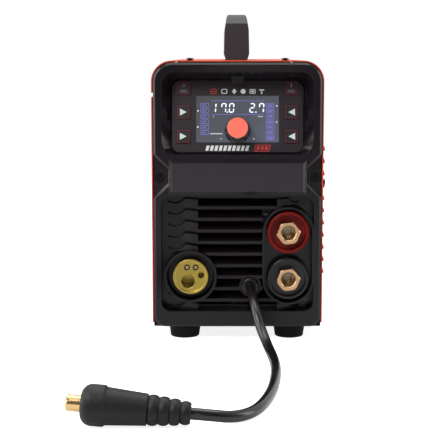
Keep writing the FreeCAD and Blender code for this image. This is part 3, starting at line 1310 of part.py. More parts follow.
def capacitors():
    x0 = divider_x + sheet + standoff + board_thick
    cans = []
    for i in range(3):
        y = power_y0 + 2 * can_radius + i * (2 * can_radius + 4)
        can = rod(can_radius, (x0, y, power_z1 - can_radius - 4), (1, 0, 0), can_height)
        cans.append(can.makeFillet(1.5, [e for e in can.Edges if e.BoundBox.XMin > x0 + can_height - 0.1]))
    return cans


def gas_valve():
    """The solenoid valve: brass body on a tray bracket, with its coil on top."""
    y1 = rear - bezel_face - valve_gap
    body = box(gas_x - 13, gas_x + 13, y1 - 34, y1, low_fitting_z - 12, low_fitting_z + 14)
    coil = rod(12.0, (gas_x, y1 - 17, low_fitting_z + 13.5), (0, 0, 1), 26)
    stand = box(gas_x - 8, gas_x + 10, y1 - 30, y1 - 12, up(sheet), low_fitting_z - 11)
    port = rod(4.0, (gas_x, y1 - 46, low_fitting_z), (0, 1, 0), 13)
    inlet = rod(gas_thread_radius - 1.5, (gas_x, y1 - 11, low_fitting_z), (0, 1, 0), 12)
    return fuse(body, coil, stand, port).cut(inlet)


def gas_inlet():
    """The gas inlet: a thread through the bezel, hexagon nuts each side, and a barbed hose tail."""
    along, z = (0, 1, 0), low_fitting_z
    spigot = rod(gas_thread_radius - 1.6, (gas_x, rear - bezel_face - valve_gap - 10.5, z), along, 12)
    thread = rod(gas_thread_radius, (gas_x, rear - bezel_face - valve_gap + 0.3, z), along, valve_gap + bezel_face + 5)
    nut = prism([(gas_x + 9 * math.cos(math.radians(60 * i)), rear - 1.2 + fit_gap,
                  z + 9 * math.sin(math.radians(60 * i))) for i in range(6)], (0, 5, 0))
    profile = [V(0, 0, 0), V(3.4, 0, 0)]
    start, steps = rear + 4.5, 4
    step = (rear + gas_barb_reach - start) / (steps + 1)
    for i in range(steps):
        profile += [V(3.4, (i + 1) * step, 0), V(gas_barb_radius, (i + 1) * step, 0), V(3.4, (i + 2) * step, 0)]
    profile += [V(0, (steps + 1) * step, 0)]
    tail = Part.Face(Part.makePolygon(profile + profile[:1])).revolve(V(0, 0, 0), V(0, 1, 0), 360)
    tail.translate(V(gas_x, start, z))
    body = fuse(spigot, thread, nut, tail)
    inlet_y = rear - bezel_face - valve_gap - 11
    return body.cut(rod(gas_bore, (gas_x, inlet_y, z), along, rear + gas_barb_reach + 1 - inlet_y))


# ---- Fan, mains switch and gland in the rear bezel ----
def fan_frame():
    """The square fan frame: a round duct, four corner holes, and the motor seat on its struts."""
    y1 = rear - bezel_face - fit_gap
    y0 = y1 - fan_depth
    half = fan_frame_half
    duct = fan_radius + 0.5
    frame = box(fan_x - half, fan_x + half, y0, y1, fan_z - half, fan_z + half)
    frame = frame.makeFillet(4, [e for e in frame.Edges if e.BoundBox.YLength > 1])
    frame = frame.cut(rod(duct, (fan_x, y0 - 1, fan_z), (0, 1, 0), fan_depth + 2))
    for sx in (-1, 1):
        for sz in (-1, 1):
            spot = (fan_x + sx * fan_screw_spread, y0 - 1, fan_z + sz * fan_screw_spread)
            frame = frame.cut(rod(2.2, spot, (0, 1, 0), fan_depth + 2))
    seat = rod(fan_hub_radius, (fan_x, y0, fan_z), (0, 1, 0), 3.5)
    pin = rod(fan_pin_radius, (fan_x, y0 + 3, fan_z), (0, 1, 0), 14)
    struts = []
    for i in range(4):
        strut = box(fan_hub_radius - 1, duct + 1.5, y0, y0 + 3, -2, 2)
        strut.rotate(V(0, 0, 0), V(0, 1, 0), 45 + 90 * i)
        strut.translate(V(fan_x, 0, fan_z))
        struts.append(strut)
    return fuse(frame, seat, pin, *struts)


def fan_rotor():
    """The fan rotor: a cup on the motor's pin and seven pitched blades."""
    y1 = rear - bezel_face - fit_gap
    y0 = y1 - fan_depth + 3.5 + plate_gap
    hub = rod(fan_hub_radius, (fan_x, y0, fan_z), (0, 1, 0), 18)
    hub = hub.makeFillet(2, [e for e in hub.Edges if e.BoundBox.YMin > y0 + 17.9])
    blades = []
    for i in range(7):
        blade = prism([(-6.5, y0 + 3.5, 0), (-4.9, y0 + 2, 0), (8, y0 + 14, 0), (6.4, y0 + 15.5, 0)],
                      (0, 0, fan_radius - 2 - fan_hub_radius + 3))
        blade.translate(V(0, 0, fan_hub_radius - 3))
        blade.rotate(V(0, 0, 0), V(0, 1, 0), 360 / 7 * i)
        blade.translate(V(fan_x, 0, fan_z))
        blades.append(blade)
    rotor = fuse(hub, *blades)
    trim = rod(fan_radius - 1.5, (fan_x, y0 - 1, fan_z), (0, 1, 0), 40)
    return rotor.common(trim).cut(rod(fan_pin_radius + 0.05, (fan_x, y0 - 1, fan_z), (0, 1, 0), 14.5))


def switch_frame():
    """The mains switch's housing: a flange on the rear face and an open box behind it."""
    flange = box(fan_x - switch_half - 1.6, fan_x + switch_half + 1.6, rear - 1.2, rear + 0.4,
                 switch_z - switch_tall - 1.6, switch_z + switch_tall + 1.6)
    body = box(fan_x - switch_half, fan_x + switch_half, rear - 24, rear - 1, switch_z - switch_tall,
               switch_z + switch_tall)
    hollow = box(fan_x - switch_half + 2, fan_x + switch_half - 2, rear - 16, rear + 1,
                 switch_z - switch_tall + 2, switch_z + switch_tall - 2)
    tabs = [box(fan_x + dx - 3, fan_x + dx + 3, rear - 32, rear - 23.5, switch_z + dz - 0.4, switch_z + dz + 0.4)
            for dx in (-7, 7) for dz in (-5, 5)]
    body = fuse(flange, body, *tabs).cut(hollow)
    pin = rod(1.2, (fan_x - switch_half + 1, rear - 6, switch_z), (1, 0, 0), 2 * switch_half - 2)
    return body.fuse(pin)


def power_rocker():
    """The rocker: a V-faced lever on the switch's pin, stored with its lower half pressed in."""
    top = switch_tall - 3.1
    outline = [(-7.0, -3.5), (-7.0, 3.5), (0.5, top), (2.6, top), (0.9, 0), (2.6, -top), (0.5, -top)]
    rocker = prism([(fan_x - switch_half + 2.3, rear - 4.0 + y, switch_z + z) for y, z in outline],
                   (2 * switch_half - 4.6, 0, 0))
    rocker = rocker.cut(rod(1.25, (fan_x - switch_half, rear - 6, switch_z), (1, 0, 0), 2 * switch_half))
    rocker.rotate(V(fan_x, rear - 6, switch_z), V(1, 0, 0), rocker_throw / 2)
    return rocker


def mains_gland():
    """The mains cable gland: its domed nut outside, the neck through the bezel and a lock nut inside."""
    along, z = (0, 1, 0), low_fitting_z
    nut = rod(mains_radius + 3.5, (mains_x, rear - 1.2 + fit_gap, z), along, 12)
    nut = nut.makeFillet(3, [e for e in nut.Edges if e.BoundBox.YMin > rear + 10.8])
    hexagon = prism([(mains_x + 14 * math.cos(math.radians(60 * i)), rear - 1.2 + fit_gap,
                      z + 14 * math.sin(math.radians(60 * i))) for i in range(6)], (0, 5, 0))
    neck = rod(mains_radius, (mains_x, rear - 14, z), along, 14)
    lock_nut = rod(mains_radius + 3, (mains_x, rear - bezel_face - fit_gap - 4, z), along, 4)
    return fuse(nut, hexagon, neck, lock_nut).cut(rod(mains_bore, (mains_x, rear - 15, z), along, 15 + 12))


save("power_board", power_board())
save("heat_sinks", *[heat_sink(y, power_z0 + 8) for y in (power_y0 + sink_gap, power_y0 + 2 * sink_gap + sink_length)])
save("transformer", *transformer())
save("capacitors", *capacitors())
save("gas_valve", gas_valve())
save("gas_inlet", gas_inlet())
save("fan_frame", fan_frame())
save("fan_rotor", fan_rotor())
save("switch_frame", switch_frame())
save("power_rocker", power_rocker())
save("mains_gland", mains_gland())
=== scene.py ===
import math

import bpy
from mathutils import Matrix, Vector


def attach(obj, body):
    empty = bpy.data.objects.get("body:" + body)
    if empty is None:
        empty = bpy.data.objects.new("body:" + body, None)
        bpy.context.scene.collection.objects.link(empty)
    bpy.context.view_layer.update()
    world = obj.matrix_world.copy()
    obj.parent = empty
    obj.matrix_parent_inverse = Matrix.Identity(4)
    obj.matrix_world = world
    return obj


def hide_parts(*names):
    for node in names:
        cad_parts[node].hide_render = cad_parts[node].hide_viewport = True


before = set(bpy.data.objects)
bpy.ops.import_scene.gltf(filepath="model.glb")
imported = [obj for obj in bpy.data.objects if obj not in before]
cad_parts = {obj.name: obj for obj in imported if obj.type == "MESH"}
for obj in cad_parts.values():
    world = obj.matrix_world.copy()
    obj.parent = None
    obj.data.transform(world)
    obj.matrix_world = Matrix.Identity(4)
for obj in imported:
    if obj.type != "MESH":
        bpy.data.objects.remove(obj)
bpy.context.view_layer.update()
MM = 0.001

# ---- Camera ----
# Set well back and a little above the display, looking slightly down at the upright front.
camera_data = bpy.data.cameras.new("camera")
camera_data.lens = 100.0
camera_data.sensor_width = 36.0
camera_data.clip_end = 20.0
camera = bpy.data.objects.new("camera", camera_data)
bpy.context.collection.objects.link(camera)
camera.location = (-0.01504, -1.3427, 0.2705)
camera.rotation_euler = (math.radians(90 - 7.75), 0, 0)
bpy.context.scene.camera = camera

# ---- Polarity lead ----
# A limp rubber-covered welding cable. It leaves its gland in the grille, drops to the floor in front
# of the machine and turns left to its plug.
FRONT = -0.1926677  # y of the bezel's front plane
LEAD_RADIUS = 0.0045
LEAD_START_Y = FRONT + 0.003
LEAD_ROUTE = [(12.5, 0.0, 51.1), (12.8, -20.0, 50.3), (15.6, -40.5, 38.2), (21.3, -54.0, 21.0),
              (27.3, -71.5, 8.6), (31.0, -96.0, 4.7), (31.6, -127.5, 4.7), (29.6, -163.0, 4.7),
              (25.5, -198.0, 4.7), (19.5, -227.0, 4.7), (13.0, -249.0, 4.7), (4.0, -265.0, 4.7),
              (-8.5, -275.0, 5.6), (-22.6, -279.7, 8.45), (-37.5, -279.3, 9.7)]
LEAD_POINTS = [Vector((x * MM, LEAD_START_Y + y * MM, z * MM)) for x, y, z in LEAD_ROUTE]
curve = bpy.data.curves.new("lead", "CURVE")
curve.dimensions = "3D"
curve.bevel_depth = 1.0  # the points carry the thickness
curve.bevel_resolution = 8
curve.resolution_u = 16
spline = curve.splines.new("NURBS")
spline.points.add(len(LEAD_POINTS) - 1)
for point, place in zip(spline.points, LEAD_POINTS):
    point.co = (*place, 1.0)
    point.radius = LEAD_RADIUS
spline.order_u = 3
spline.use_endpoint_u = True
lead = bpy.data.objects.new("lead", curve)
bpy.context.collection.objects.link(lead)
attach(lead, "machine")
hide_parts("polarity_cable")


class Signal:
    """One output of a shader node. Arithmetic on it adds maths nodes to its tree."""

    def __init__(self, tree, out=None):
        self.tree, self.out = tree, out

    def node(self, kind, settings=None, inputs=None, output=0):
        """Adds a node to the tree, with its settings and its inputs set or linked."""
        made = self.tree.nodes.new(kind)
        for name, value in (settings or {}).items():
            setattr(made, name, value)
        for name, value in (inputs or {}).items():
            if isinstance(value, Signal):
                self.tree.links.new(value.out, made.inputs[name])
            else:
                made.inputs[name].default_value = value
        return Signal(self.tree, made.outputs[output] if made.outputs else None)

    def maths(self, operation, *terms):
        return self.node("ShaderNodeMath", {"operation": operation}, dict(enumerate(terms)))

    def __add__(self, other):
        return self.maths("ADD", self, other)

    def __sub__(self, other):
        return self.maths("SUBTRACT", self, other)

    def __rsub__(self, other):
        return self.maths("SUBTRACT", other, self)

    def __mul__(self, other):
        return self.maths("MULTIPLY", self, other)

    __radd__, __rmul__ = __add__, __mul__

    def ramp(self, low, high, start=0.0, end=1.0):
        """Maps the signal from low..high to start..end, held at both ends."""
        return self.node("ShaderNodeMapRange", {"clamp": True},
                         {0: self, 1: low, 2: high, 3: start, 4: end})

    def between(self, first, second):
        """A colour mixed from first to second by the signal."""
        return self.node("ShaderNodeMix", {"data_type": "RGBA"}, {0: self, 6: first, 7: second}, output=2)

    def position(self, axis):
        """The shaded point's x, y or z in its object, for axis 0, 1 or 2."""
        where = self.node("ShaderNodeTexCoord", output=3)
        return self.node("ShaderNodeSeparateXYZ", {}, {0: where}, output=axis)

    def length(self, across, upward):
        """The length of a vector with these two parts."""
        return self.maths("SQRT", across * across + upward * upward)


def fresh_tree(owner):
    """Empties the node tree of a material or world, and returns a signal to add its first node with."""
    owner.use_nodes = True
    owner.node_tree.nodes.clear()
    return Signal(owner.node_tree)


def linear(red, green, blue):
    """A colour given in 0-255 display values, as scene-linear RGBA."""
    parts = [v / 255 for v in (red, green, blue)]
    return tuple(v / 12.92 if v <= 0.04045 else ((v + 0.055) / 1.055) ** 2.4 for v in parts) + (1.0,)


def shade(colour, factor):
    """A colour made darker or lighter by a factor."""
    return tuple(min(1.0, c * factor) for c in colour[:3]) + (1.0,)


LATHE_MARKS_PER_METRE, LATHE_MARK_DEPTH = 3000.0, 0.000004


def material(name, colour, roughness, metallic=0.0, coat=0.0, specular=0.5, grain=0.0, grain_size=0.0006,
             blotch=0.0, soften=0.0, wear_and_highlight=0.0, brushed=0.0, turned=None, tint=None, glow=0.0):
    """One solid material with the marks that its making and use leave, and a painted highlight on its edges if
    asked.

    grain is the height of a moulded or sprayed texture and blotch the slow change in shade and gloss. soften
    rounds the shading of sharp edges. wear_and_highlight lightens the colour of the edges, a painted highlight,
    and polishes them, as wear does. brushed is the depth of marks round an axis along Y, and turned is the (x,
    z) centre of lathe marks on a face. tint takes the tree's first signal and a colour, and returns a colour
    that changes over the surface."""
    made = bpy.data.materials.new(name)
    start = fresh_tree(made)
    where = start.node("ShaderNodeTexCoord", output=3)
    base, gloss = colour, roughness
    if blotch:
        slow = start.node("ShaderNodeTexNoise", {}, {"Vector": where, "Scale": 22.0, "Detail": 4.0})
        fine = start.node("ShaderNodeTexNoise", {}, {"Vector": where, "Scale": 240.0, "Detail": 3.0})
        mixed = slow * 0.65 + fine * 0.35
        base = mixed.ramp(0.3, 0.7).between(shade(colour, 1 - 1.1 * blotch),
                                            shade(colour, 1 + 1.1 * blotch))
        gloss = mixed.ramp(0.3, 0.7, roughness * (1 - 0.5 * blotch), roughness * (1 + 0.8 * blotch))
    if tint:
        base = tint(start, base)
    normal = None
    if soften:
        normal = start.node("ShaderNodeBevel", {"samples": 6}, {"Radius": soften})
    # The edges' colour is lightened up to 2.6 times: a painted highlight along them. Their lower roughness is
    # polish from wear.
    if wear_and_highlight:
        flat = start.node("ShaderNodeNewGeometry", output=1)
        facing = start.node("ShaderNodeVectorMath", {"operation": "DOT_PRODUCT"}, {0: normal, 1: flat},
                            output=1)
        edge = facing.ramp(0.99, 0.84) * wear_and_highlight
        base = edge.between(base, shade(colour, 2.6))
        gloss = gloss - edge * (roughness * 0.3)

    def bump(height, distance):
        more = {"Normal": normal} if normal else {}
        return start.node("ShaderNodeBump", {},
                          {"Height": height, "Distance": distance, "Strength": 1.0, **more})

    if grain:
        pores = start.node("ShaderNodeTexNoise", {}, {"Vector": where, "Scale": 1 / grain_size, "Detail": 2.0})
        normal = bump(pores, grain)
    if brushed:
        along = start.node("ShaderNodeMapping", {}, {"Vector": where, "Scale": (60.0, 2600.0, 60.0)})
        marks = start.node("ShaderNodeTexNoise", {}, {"Vector": along, "Scale": 1.0, "Detail": 2.0})
        normal = bump(marks, brushed)
    if turned:
        radius = start.length(start.position(0) - turned[0], start.position(2) - turned[1])
        rings = start.node("ShaderNodeTexNoise", {"noise_dimensions": "1D"},
                           {"W": radius * LATHE_MARKS_PER_METRE, "Detail": 2.0})
        normal = bump(rings, LATHE_MARK_DEPTH)
    inputs = {"Base Color": base, "Roughness": gloss, "Metallic": metallic, "Coat Weight": coat,
              "Coat Roughness": 0.12, "Specular IOR Level": specular}
    if normal:
        inputs["Normal"] = normal
    if glow:
        inputs["Emission Color"] = base
        inputs["Emission Strength"] = glow
    surface = start.node("ShaderNodeBsdfPrincipled", {}, inputs)
    start.node("ShaderNodeOutputMaterial", {}, {"Surface": surface})
    return made


RUBBER = material("rubber", linear(18, 16, 19), 0.5, specular=0.3, grain=0.00003, blotch=0.08,
                  soften=0.0006)
lead.data.materials.append(material("cable_rubber", linear(18, 16, 19), 0.22, grain=0.00001, blotch=0.08))


def paint(surface, *nodes):
    """Gives parts of the fixed frame their surface."""
    for node in nodes:
        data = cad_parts[node].data
        data.materials.clear()
        data.materials.append(surface)


# ---- Plug on the lead ----
# A moulded rubber sleeve with a ribbed strain relief, round a turned brass bayonet pin.
paint(RUBBER, "plug_sleeve")
paint(material("pin_brass", linear(214, 180, 128), 0.24, metallic=1.0, blotch=0.12, soften=0.0003,
               brushed=0.00001), "plug_pin")

# ---- Case ----
# Black moulded front and rear bezels, an orange powder-coated wrap-over cover and side door on a dark
# steel base, and the handle bolted on top.
BLACK_PLASTIC = material("black_plastic", linear(22, 17, 22), 0.26, specular=0.35, grain=0.00001,
                         grain_size=0.0004, blotch=0.06, soften=0.0008, wear_and_highlight=0.3)
BAND_HALF_WIDTH, BAND_HALF_HEIGHT = 0.0624, 0.0131
BAND_MIDDLE = 0.1558
BAND_EDGE = 0.001
SCREW_HEADS_END = FRONT + 0.013  # the front screws' heads lie before this y, the others behind it


def band_painted_sheen(start, base):
    """The raised centre band is painted a lighter grey than the rest: a painted sheen, for the soft light its
    face reflects.
    """
    across = start.maths("ABSOLUTE", start.position(0)).ramp(BAND_HALF_WIDTH + BAND_EDGE, BAND_HALF_WIDTH)
    upward = start.maths("ABSOLUTE", start.position(2) - BAND_MIDDLE)
    upward = upward.ramp(BAND_HALF_HEIGHT + BAND_EDGE, BAND_HALF_HEIGHT)
    proud = start.position(1).ramp(FRONT + 0.0002, FRONT - 0.0012)
    return (across * upward * proud).between(base, linear(46, 41, 46))


MATT_BLACK = material("matt_black", linear(24, 22, 25), 0.48, specular=0.4, grain=0.00003, blotch=0.05,
                      soften=0.0004)
DARK_STEEL = material("dark_steel", linear(92, 90, 92), 0.34, metallic=1.0, blotch=0.12, soften=0.0003)


def screw_colour(start, base):
    """The two bezel screws in front are black; the others are plain zinc-plated."""
    behind = start.position(1).ramp(SCREW_HEADS_END, SCREW_HEADS_END + 0.0002)
    return behind.between(linear(34, 32, 34), base)


BLACK_PAINT = material("black_paint", linear(28, 27, 29), 0.45, specular=0.4, grain=0.00002,
                       grain_size=0.001, blotch=0.05, soften=0.0003)
# The front bezel: a painted sheen on its centre band, and painted highlights on its edges.
paint(material("bezel_plastic", linear(17, 12, 17), 0.2, specular=0.24, grain=0.00001, grain_size=0.0004,
               blotch=0.06, soften=0.0008, wear_and_highlight=0.5, tint=band_painted_sheen), "front_bezel")
paint(BLACK_PLASTIC, "rear_bezel")
paint(material("orange_paint", linear(214, 70, 32), 0.45, coat=0.08, specular=0.35, grain=0.000012,
               grain_size=0.0012, blotch=0.04, soften=0.0005), "cover", "side_door")
paint(BLACK_PAINT, "base_tray")
paint(material("galvanised", linear(150, 152, 155), 0.5, metallic=0.8, blotch=0.18), "divider_plate")
paint(material("foot_rubber", linear(16, 14, 17), 0.6, specular=0.12, grain=0.00003, blotch=0.08,
               soften=0.0006), "rubber_feet")
paint(material("handle_plastic", linear(38, 33, 38), 0.42, specular=0.4, grain=0.00003, blotch=0.06,
               soften=0.0012, wear_and_highlight=0.2), "handle")
paint(material("screw_zinc", linear(120, 118, 120), 0.3, metallic=1.0, soften=0.0002, tint=screw_colour),
      "case_screws")
paint(DARK_STEEL, "foot_and_handle_screws", "hinge_leaves")
paint(MATT_BLACK, "door_latch")

# ---- Torch and lead sockets ----
# The torch connector is a turned brass block in a moulded insulator. The lead sockets are brass too, each
# in a moulded bush with a hexagonal mouth, red for plus and black for minus.
TORCH_CENTRE = (-0.0444, 0.0586)  # x and z of the brass face
paint(MATT_BLACK, "euro_insulator")
# The brass face's rim gets a painted highlight from the edge lightening.
paint(material("brass", linear(168, 146, 72), 0.3, metallic=1.0, blotch=0.05, soften=0.0008, wear_and_highlight=0.5,
               turned=TORCH_CENTRE), "euro_block")
BRASS = material("plain_brass", linear(200, 162, 96), 0.28, metallic=1.0, blotch=0.12, soften=0.0003,
                 brushed=0.00001)
CONTACT_PLACES, CONTACT_HEIGHT = (-0.0477, -0.0395), 0.0695


def contact_colour(start, base):
    """Bright pins inside dark moulded sleeves, told apart by the distance from each pin's axis."""
    upward = start.position(2) - CONTACT_HEIGHT
    left, right = [start.length(start.position(0) - x, upward) for x in CONTACT_PLACES]
    return start.maths("MINIMUM", left, right).ramp(0.0013, 0.0015).between(base, linear(26, 24, 26))


paint(material("contact_brass", linear(214, 186, 120), 0.3, metallic=0.6, tint=contact_colour),
      "euro_contacts")
paint(material("red_moulding", linear(112, 14, 9), 0.36, specular=0.15, blotch=0.06, soften=0.0006,
               wear_and_highlight=0.15), "positive_bush")
paint(BLACK_PLASTIC, "negative_bush", "cable_gland")
paint(material("red_brass", linear(190, 154, 116), 0.24, metallic=1.0, blotch=0.12, soften=0.0004,
               brushed=0.00001), "panel_sockets")
paint(material("bolt_zinc", linear(214, 204, 188), 0.42, metallic=0.7, blotch=0.12, soften=0.0003),
      "socket_bolts")


def prism(verts, faces, loop, hole, shift):
    """Adds a thin plate to a mesh in the making, from a loop of points and any loop of its hole."""
    rings = [loop, hole] if hole else [loop]
    count = len(loop)
    first = []
    for ring in rings:
        for lift in (Vector((0, 0, 0)), shift):
            first.append(len(verts))
            verts.extend(p + lift for p in ring)
    for i in range(count):
        j = (i + 1) % count
        faces.append((first[0] + i, first[0] + j, first[1] + j, first[1] + i))
        if hole:
            faces.append((first[2] + j, first[2] + i, first[3] + i, first[3] + j))
            faces.append((first[1] + i, first[1] + j, first[3] + j, first[3] + i))
            faces.append((first[0] + j, first[0] + i, first[2] + i, first[2] + j))
    if not hole:
        faces.append(tuple(first[1] + i for i in range(count)))
        faces.append(tuple(first[0] + i for i in reversed(range(count))))


def plates(name, shapes, place, shift, surface, body):
    """A piece made of thin plates. Each shape is an outer loop and a hole or None, in mm, which the function
    place puts where they belong. shift is the plates' thickness, as a vector."""
    verts, faces = [], []
    for outer, hole in shapes:
        prism(verts, faces, [place(*p) for p in outer], [place(*p) for p in hole] if hole else None, shift)
    mesh = bpy.data.meshes.new(name)
    mesh.from_pydata([tuple(v) for v in verts], [], faces)
    mesh.validate()
    mesh.materials.append(surface)
    piece = bpy.data.objects.new(name, mesh)
    bpy.context.collection.objects.link(piece)
    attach(piece, body)
    return piece


def rectangle(x, y, width, height, corner=0.0, steps=4):
    """A rectangle's loop about its centre, anticlockwise, with rounded corners."""
    if not corner:
        return [(x + a * width / 2, y + b * height / 2) for a, b in ((-1, -1), (1, -1), (1, 1), (-1, 1))]
    loop = []
    for quarter, (a, b) in enumerate(((1, 1), (-1, 1), (-1, -1), (1, -1))):
        for i in range(steps + 1):
            turn = math.radians(90 * (quarter + i / steps))
            loop.append((x + a * (width / 2 - corner) + corner * math.cos(turn),
                         y + b * (height / 2 - corner) + corner * math.sin(turn)))
    return loop


GRILLE_DEPTH = 0.0161


def on_grille_floor(x, z):
    """A point on the grille's floor, in mm across and up from the bench."""
    return Vector((x * MM, FRONT + GRILLE_DEPTH, z * MM))


# The plus and minus signs moulded into the grille's floor, outside the collar of the lead sockets.
# They are coloured a lighter grey than the black moulding: a painted highlight on their raised faces.
SIGN_X, PLUS_Z, MINUS_Z = 65.2, 126.0, 36.2
SIGN_LENGTH, SIGN_STROKE = 5.4, 1.4
sign_bars = [(rectangle(SIGN_X, PLUS_Z, SIGN_LENGTH, SIGN_STROKE), None),
             (rectangle(SIGN_X, PLUS_Z, SIGN_STROKE, SIGN_LENGTH), None),
             (rectangle(SIGN_X, MINUS_Z, SIGN_LENGTH, SIGN_STROKE), None)]
plates("socket_signs", sign_bars, on_grille_floor, Vector((0, -0.0006, 0)),
       material("sign_painted_highlight", linear(50, 44, 49), 0.3, blotch=0.06), "machine")

# ---- Wire feeder ----
# Behind the side door: a cast plate and pressure arm, steel rolls, a geared motor and the spool's hub.
CASTING = material("casting", linear(128, 130, 134), 0.5, metallic=0.85, grain=0.00008, blotch=0.1,
                   soften=0.0006)
STEEL = material("steel", linear(150, 150, 152), 0.3, metallic=1.0, blotch=0.1, soften=0.0002,
                 brushed=0.000006)
paint(CASTING, "feeder_plate", "pressure_arm")
paint(BRASS, "wire_guides")
paint(BLACK_PAINT, "feed_motor")
paint(STEEL, "drive_roll", "pressure_roller", "hub_axle")
paint(MATT_BLACK, "tension_lever", "spool_hub", "hub_nut")

# ---- Power electronics, fan and rear fittings ----
# A green circuit board carries the finned heat sinks, the transformer and the capacitors. The fan, the
# mains switch, the cord gland and the gas inlet sit in the rear bezel.
CIRCUIT_GREEN = material("circuit_green", linear(28, 92, 52), 0.4, coat=0.3, blotch=0.12)
paint(CIRCUIT_GREEN, "power_board", "control_board")
paint(material("aluminium", linear(196, 198, 202), 0.36, metallic=1.0, blotch=0.08, brushed=0.000008),
      "heat_sinks")
paint(material("ferrite", linear(58, 56, 54), 0.6, blotch=0.1, grain=0.00003), "transformer")
paint(material("can_sleeve", linear(26, 34, 72), 0.3, blotch=0.04), "capacitors")
paint(BRASS, "gas_valve", "gas_inlet")
paint(MATT_BLACK, "fan_frame", "fan_rotor", "switch_frame", "mains_gland", "key_switches")
paint(material("red_rocker", linear(168, 24, 20), 0.3, coat=0.4, blotch=0.03, soften=0.0004),
      "power_rocker")

# ---- Control panel ----
# A dark facing sheet holds the display window and six square keys. The knob is black, with a turned orange
# cap, on the encoder's shaft.
PANEL_TILT = math.radians(14)
PANEL_FOOT = Vector((0, FRONT + 0.005, 0.178))
OVERLAY = material("overlay", linear(38, 32, 37), 0.4, specular=0.4, grain=0.000012, grain_size=0.0004,
                   blotch=0.04)
KEYS = [(side, row) for side in ("left", "right") for row in ("low", "middle", "top")]
KEY_ROWS = {"low": 15.8, "middle": 39.0, "top": 62.0}
KEY_COLUMN = 50.8


def lens_colour(start, base):
    """The display's backlight is a little stronger and bluer towards the lower right."""
    drift = start.position(0).ramp(-0.039, 0.039) * 0.6 + start.position(2).ramp(0.235, 0.19) * 0.4
    return drift.between(linear(74, 75, 77), linear(88, 92, 104))


paint(OVERLAY, "control_overlay", *[f"key_{side}_{row}" for side, row in KEYS])
paint(material("lens", linear(86, 88, 94), 0.25, specular=0.4, tint=lens_colour, glow=0.25), "display_lens")
paint(MATT_BLACK, "display_module")
paint(STEEL, "encoder", "encoder_shaft")
paint(material("knob_black", linear(24, 22, 25), 0.16, coat=0.6, blotch=0.04, soften=0.0004), "knob_body")
paint(material("knob_cap", linear(255, 112, 92), 0.42, soften=0.0004, blotch=0.02), "knob_cap")


def on_panel(out):
    """Returns the function that puts a point of the panel, in mm, at a height in mm above its facing."""
    def place(x, slope):
        return PANEL_FOOT + MM * Vector((x, slope * math.sin(PANEL_TILT) - out * math.cos(PANEL_TILT),
                                         slope * math.cos(PANEL_TILT) + out * math.sin(PANEL_TILT)))
    return place


INK = MM * 0.05 * Vector((0, -math.cos(PANEL_TILT), math.sin(PANEL_TILT)))


def panel_prints(name, shapes, out, surface, body="machine"):
    """Prints shapes on the tilted panel, at a height in mm above its facing."""
    return plates(name, shapes, on_panel(out), INK, surface, body)


def frame_shape(x, y, width, height, line, corner):
    """A rounded outline of one line width."""
    return (rectangle(x, y, width, height, corner),
            rectangle(x, y, width - 2 * line, height - 2 * line, max(corner - line, 0.05)))


def bar(x, y, width, height, lean=0.0):
    """A small solid bar, which may lean."""
    return ([(a + lean * (b - y), b) for a, b in rectangle(x, y, width, height)], None)


def dot(x, y, radius, sides=14):
    """A small filled circle."""
    return ([(x + radius * math.cos(2 * math.pi * i / sides),
              y + radius * math.sin(2 * math.pi * i / sides))
             for i in range(sides)], None)


# Seven-segment figures, with the segments in the order top, upper left, upper right, middle, lower left,
# lower right, bottom.
SEGMENTS = {"0": "1110111", "1": "0010010", "2": "1011101", "7": "1110010"}
FIGURE_WIDTH, FIGURE_HEIGHT, STROKE = 5.0, 9.3, 1.1


def figure(digit, left, low):
    """The lit segments of one digit, each a bar with pointed ends, leaning slightly."""
    w, h, t = FIGURE_WIDTH, FIGURE_HEIGHT, STROKE
    places = [(w / 2, h - t / 2, 0), (t / 2, h * 0.75, 1), (w - t / 2, h * 0.75, 1), (w / 2, h / 2, 0),
              (t / 2, h * 0.25, 1), (w - t / 2, h * 0.25, 1), (w / 2, t / 2, 0)]
    shapes = []
    for lit, (x, y, upright) in zip(SEGMENTS[digit], places):
        if lit == "0":
            continue
        length = (h / 2 - t) if upright else (w - t - 0.5)
        reach, half = length / 2, t / 2
        loop = [(-reach, 0), (-reach + half, -half), (reach - half, -half), (reach, 0),
                (reach - half, half), (-reach + half, half)]
        loop = [(-b, a) for a, b in loop] if upright else loop
        shapes.append(([(left + x + a + 0.08 * (y + b), low + y + b) for a, b in loop], None))
    return shapes


LIT_WHITE = material("lit_segments", linear(222, 232, 248), 0.5, blotch=0.02, glow=0.75)
LIT_VIOLET = material("lit_violet", linear(104, 98, 172), 0.5, blotch=0.04, glow=0.45)
PRINT_WHITE = material("white_ink", linear(214, 218, 216), 0.5, blotch=0.04)
DIM_WHITE = material("dim_ink", linear(132, 120, 124), 0.5, blotch=0.04)
PRINT_RED = material("red_ink", linear(126, 30, 46), 0.4, blotch=0.08)
LENS_OUT = 0.83
DIGIT_LOW = 38.6
TAG_WIDTH, TAG_HEIGHT, TAG_STEP = 8.2, 4.2, 5.2
digits = []
for digit, left in (("1", -25.3), ("7", -15.8), ("0", -8.4), ("2", 11.0), ("7", 19.8)):
    digits += figure(digit, left, DIGIT_LOW)
digits += [bar(-9.6, DIGIT_LOW + 0.6, 1.0, 1.2), bar(17.4, DIGIT_LOW + 0.6, 1.0, 1.2)]
digits += [dot(x, y, 0.62) for x, y in ((-37.2, 40.4), (-37.3, 25.0), (37.0, 45.2), (36.9, 29.7))]
panel_prints("display_figures", digits, LENS_OUT, LIT_WHITE)

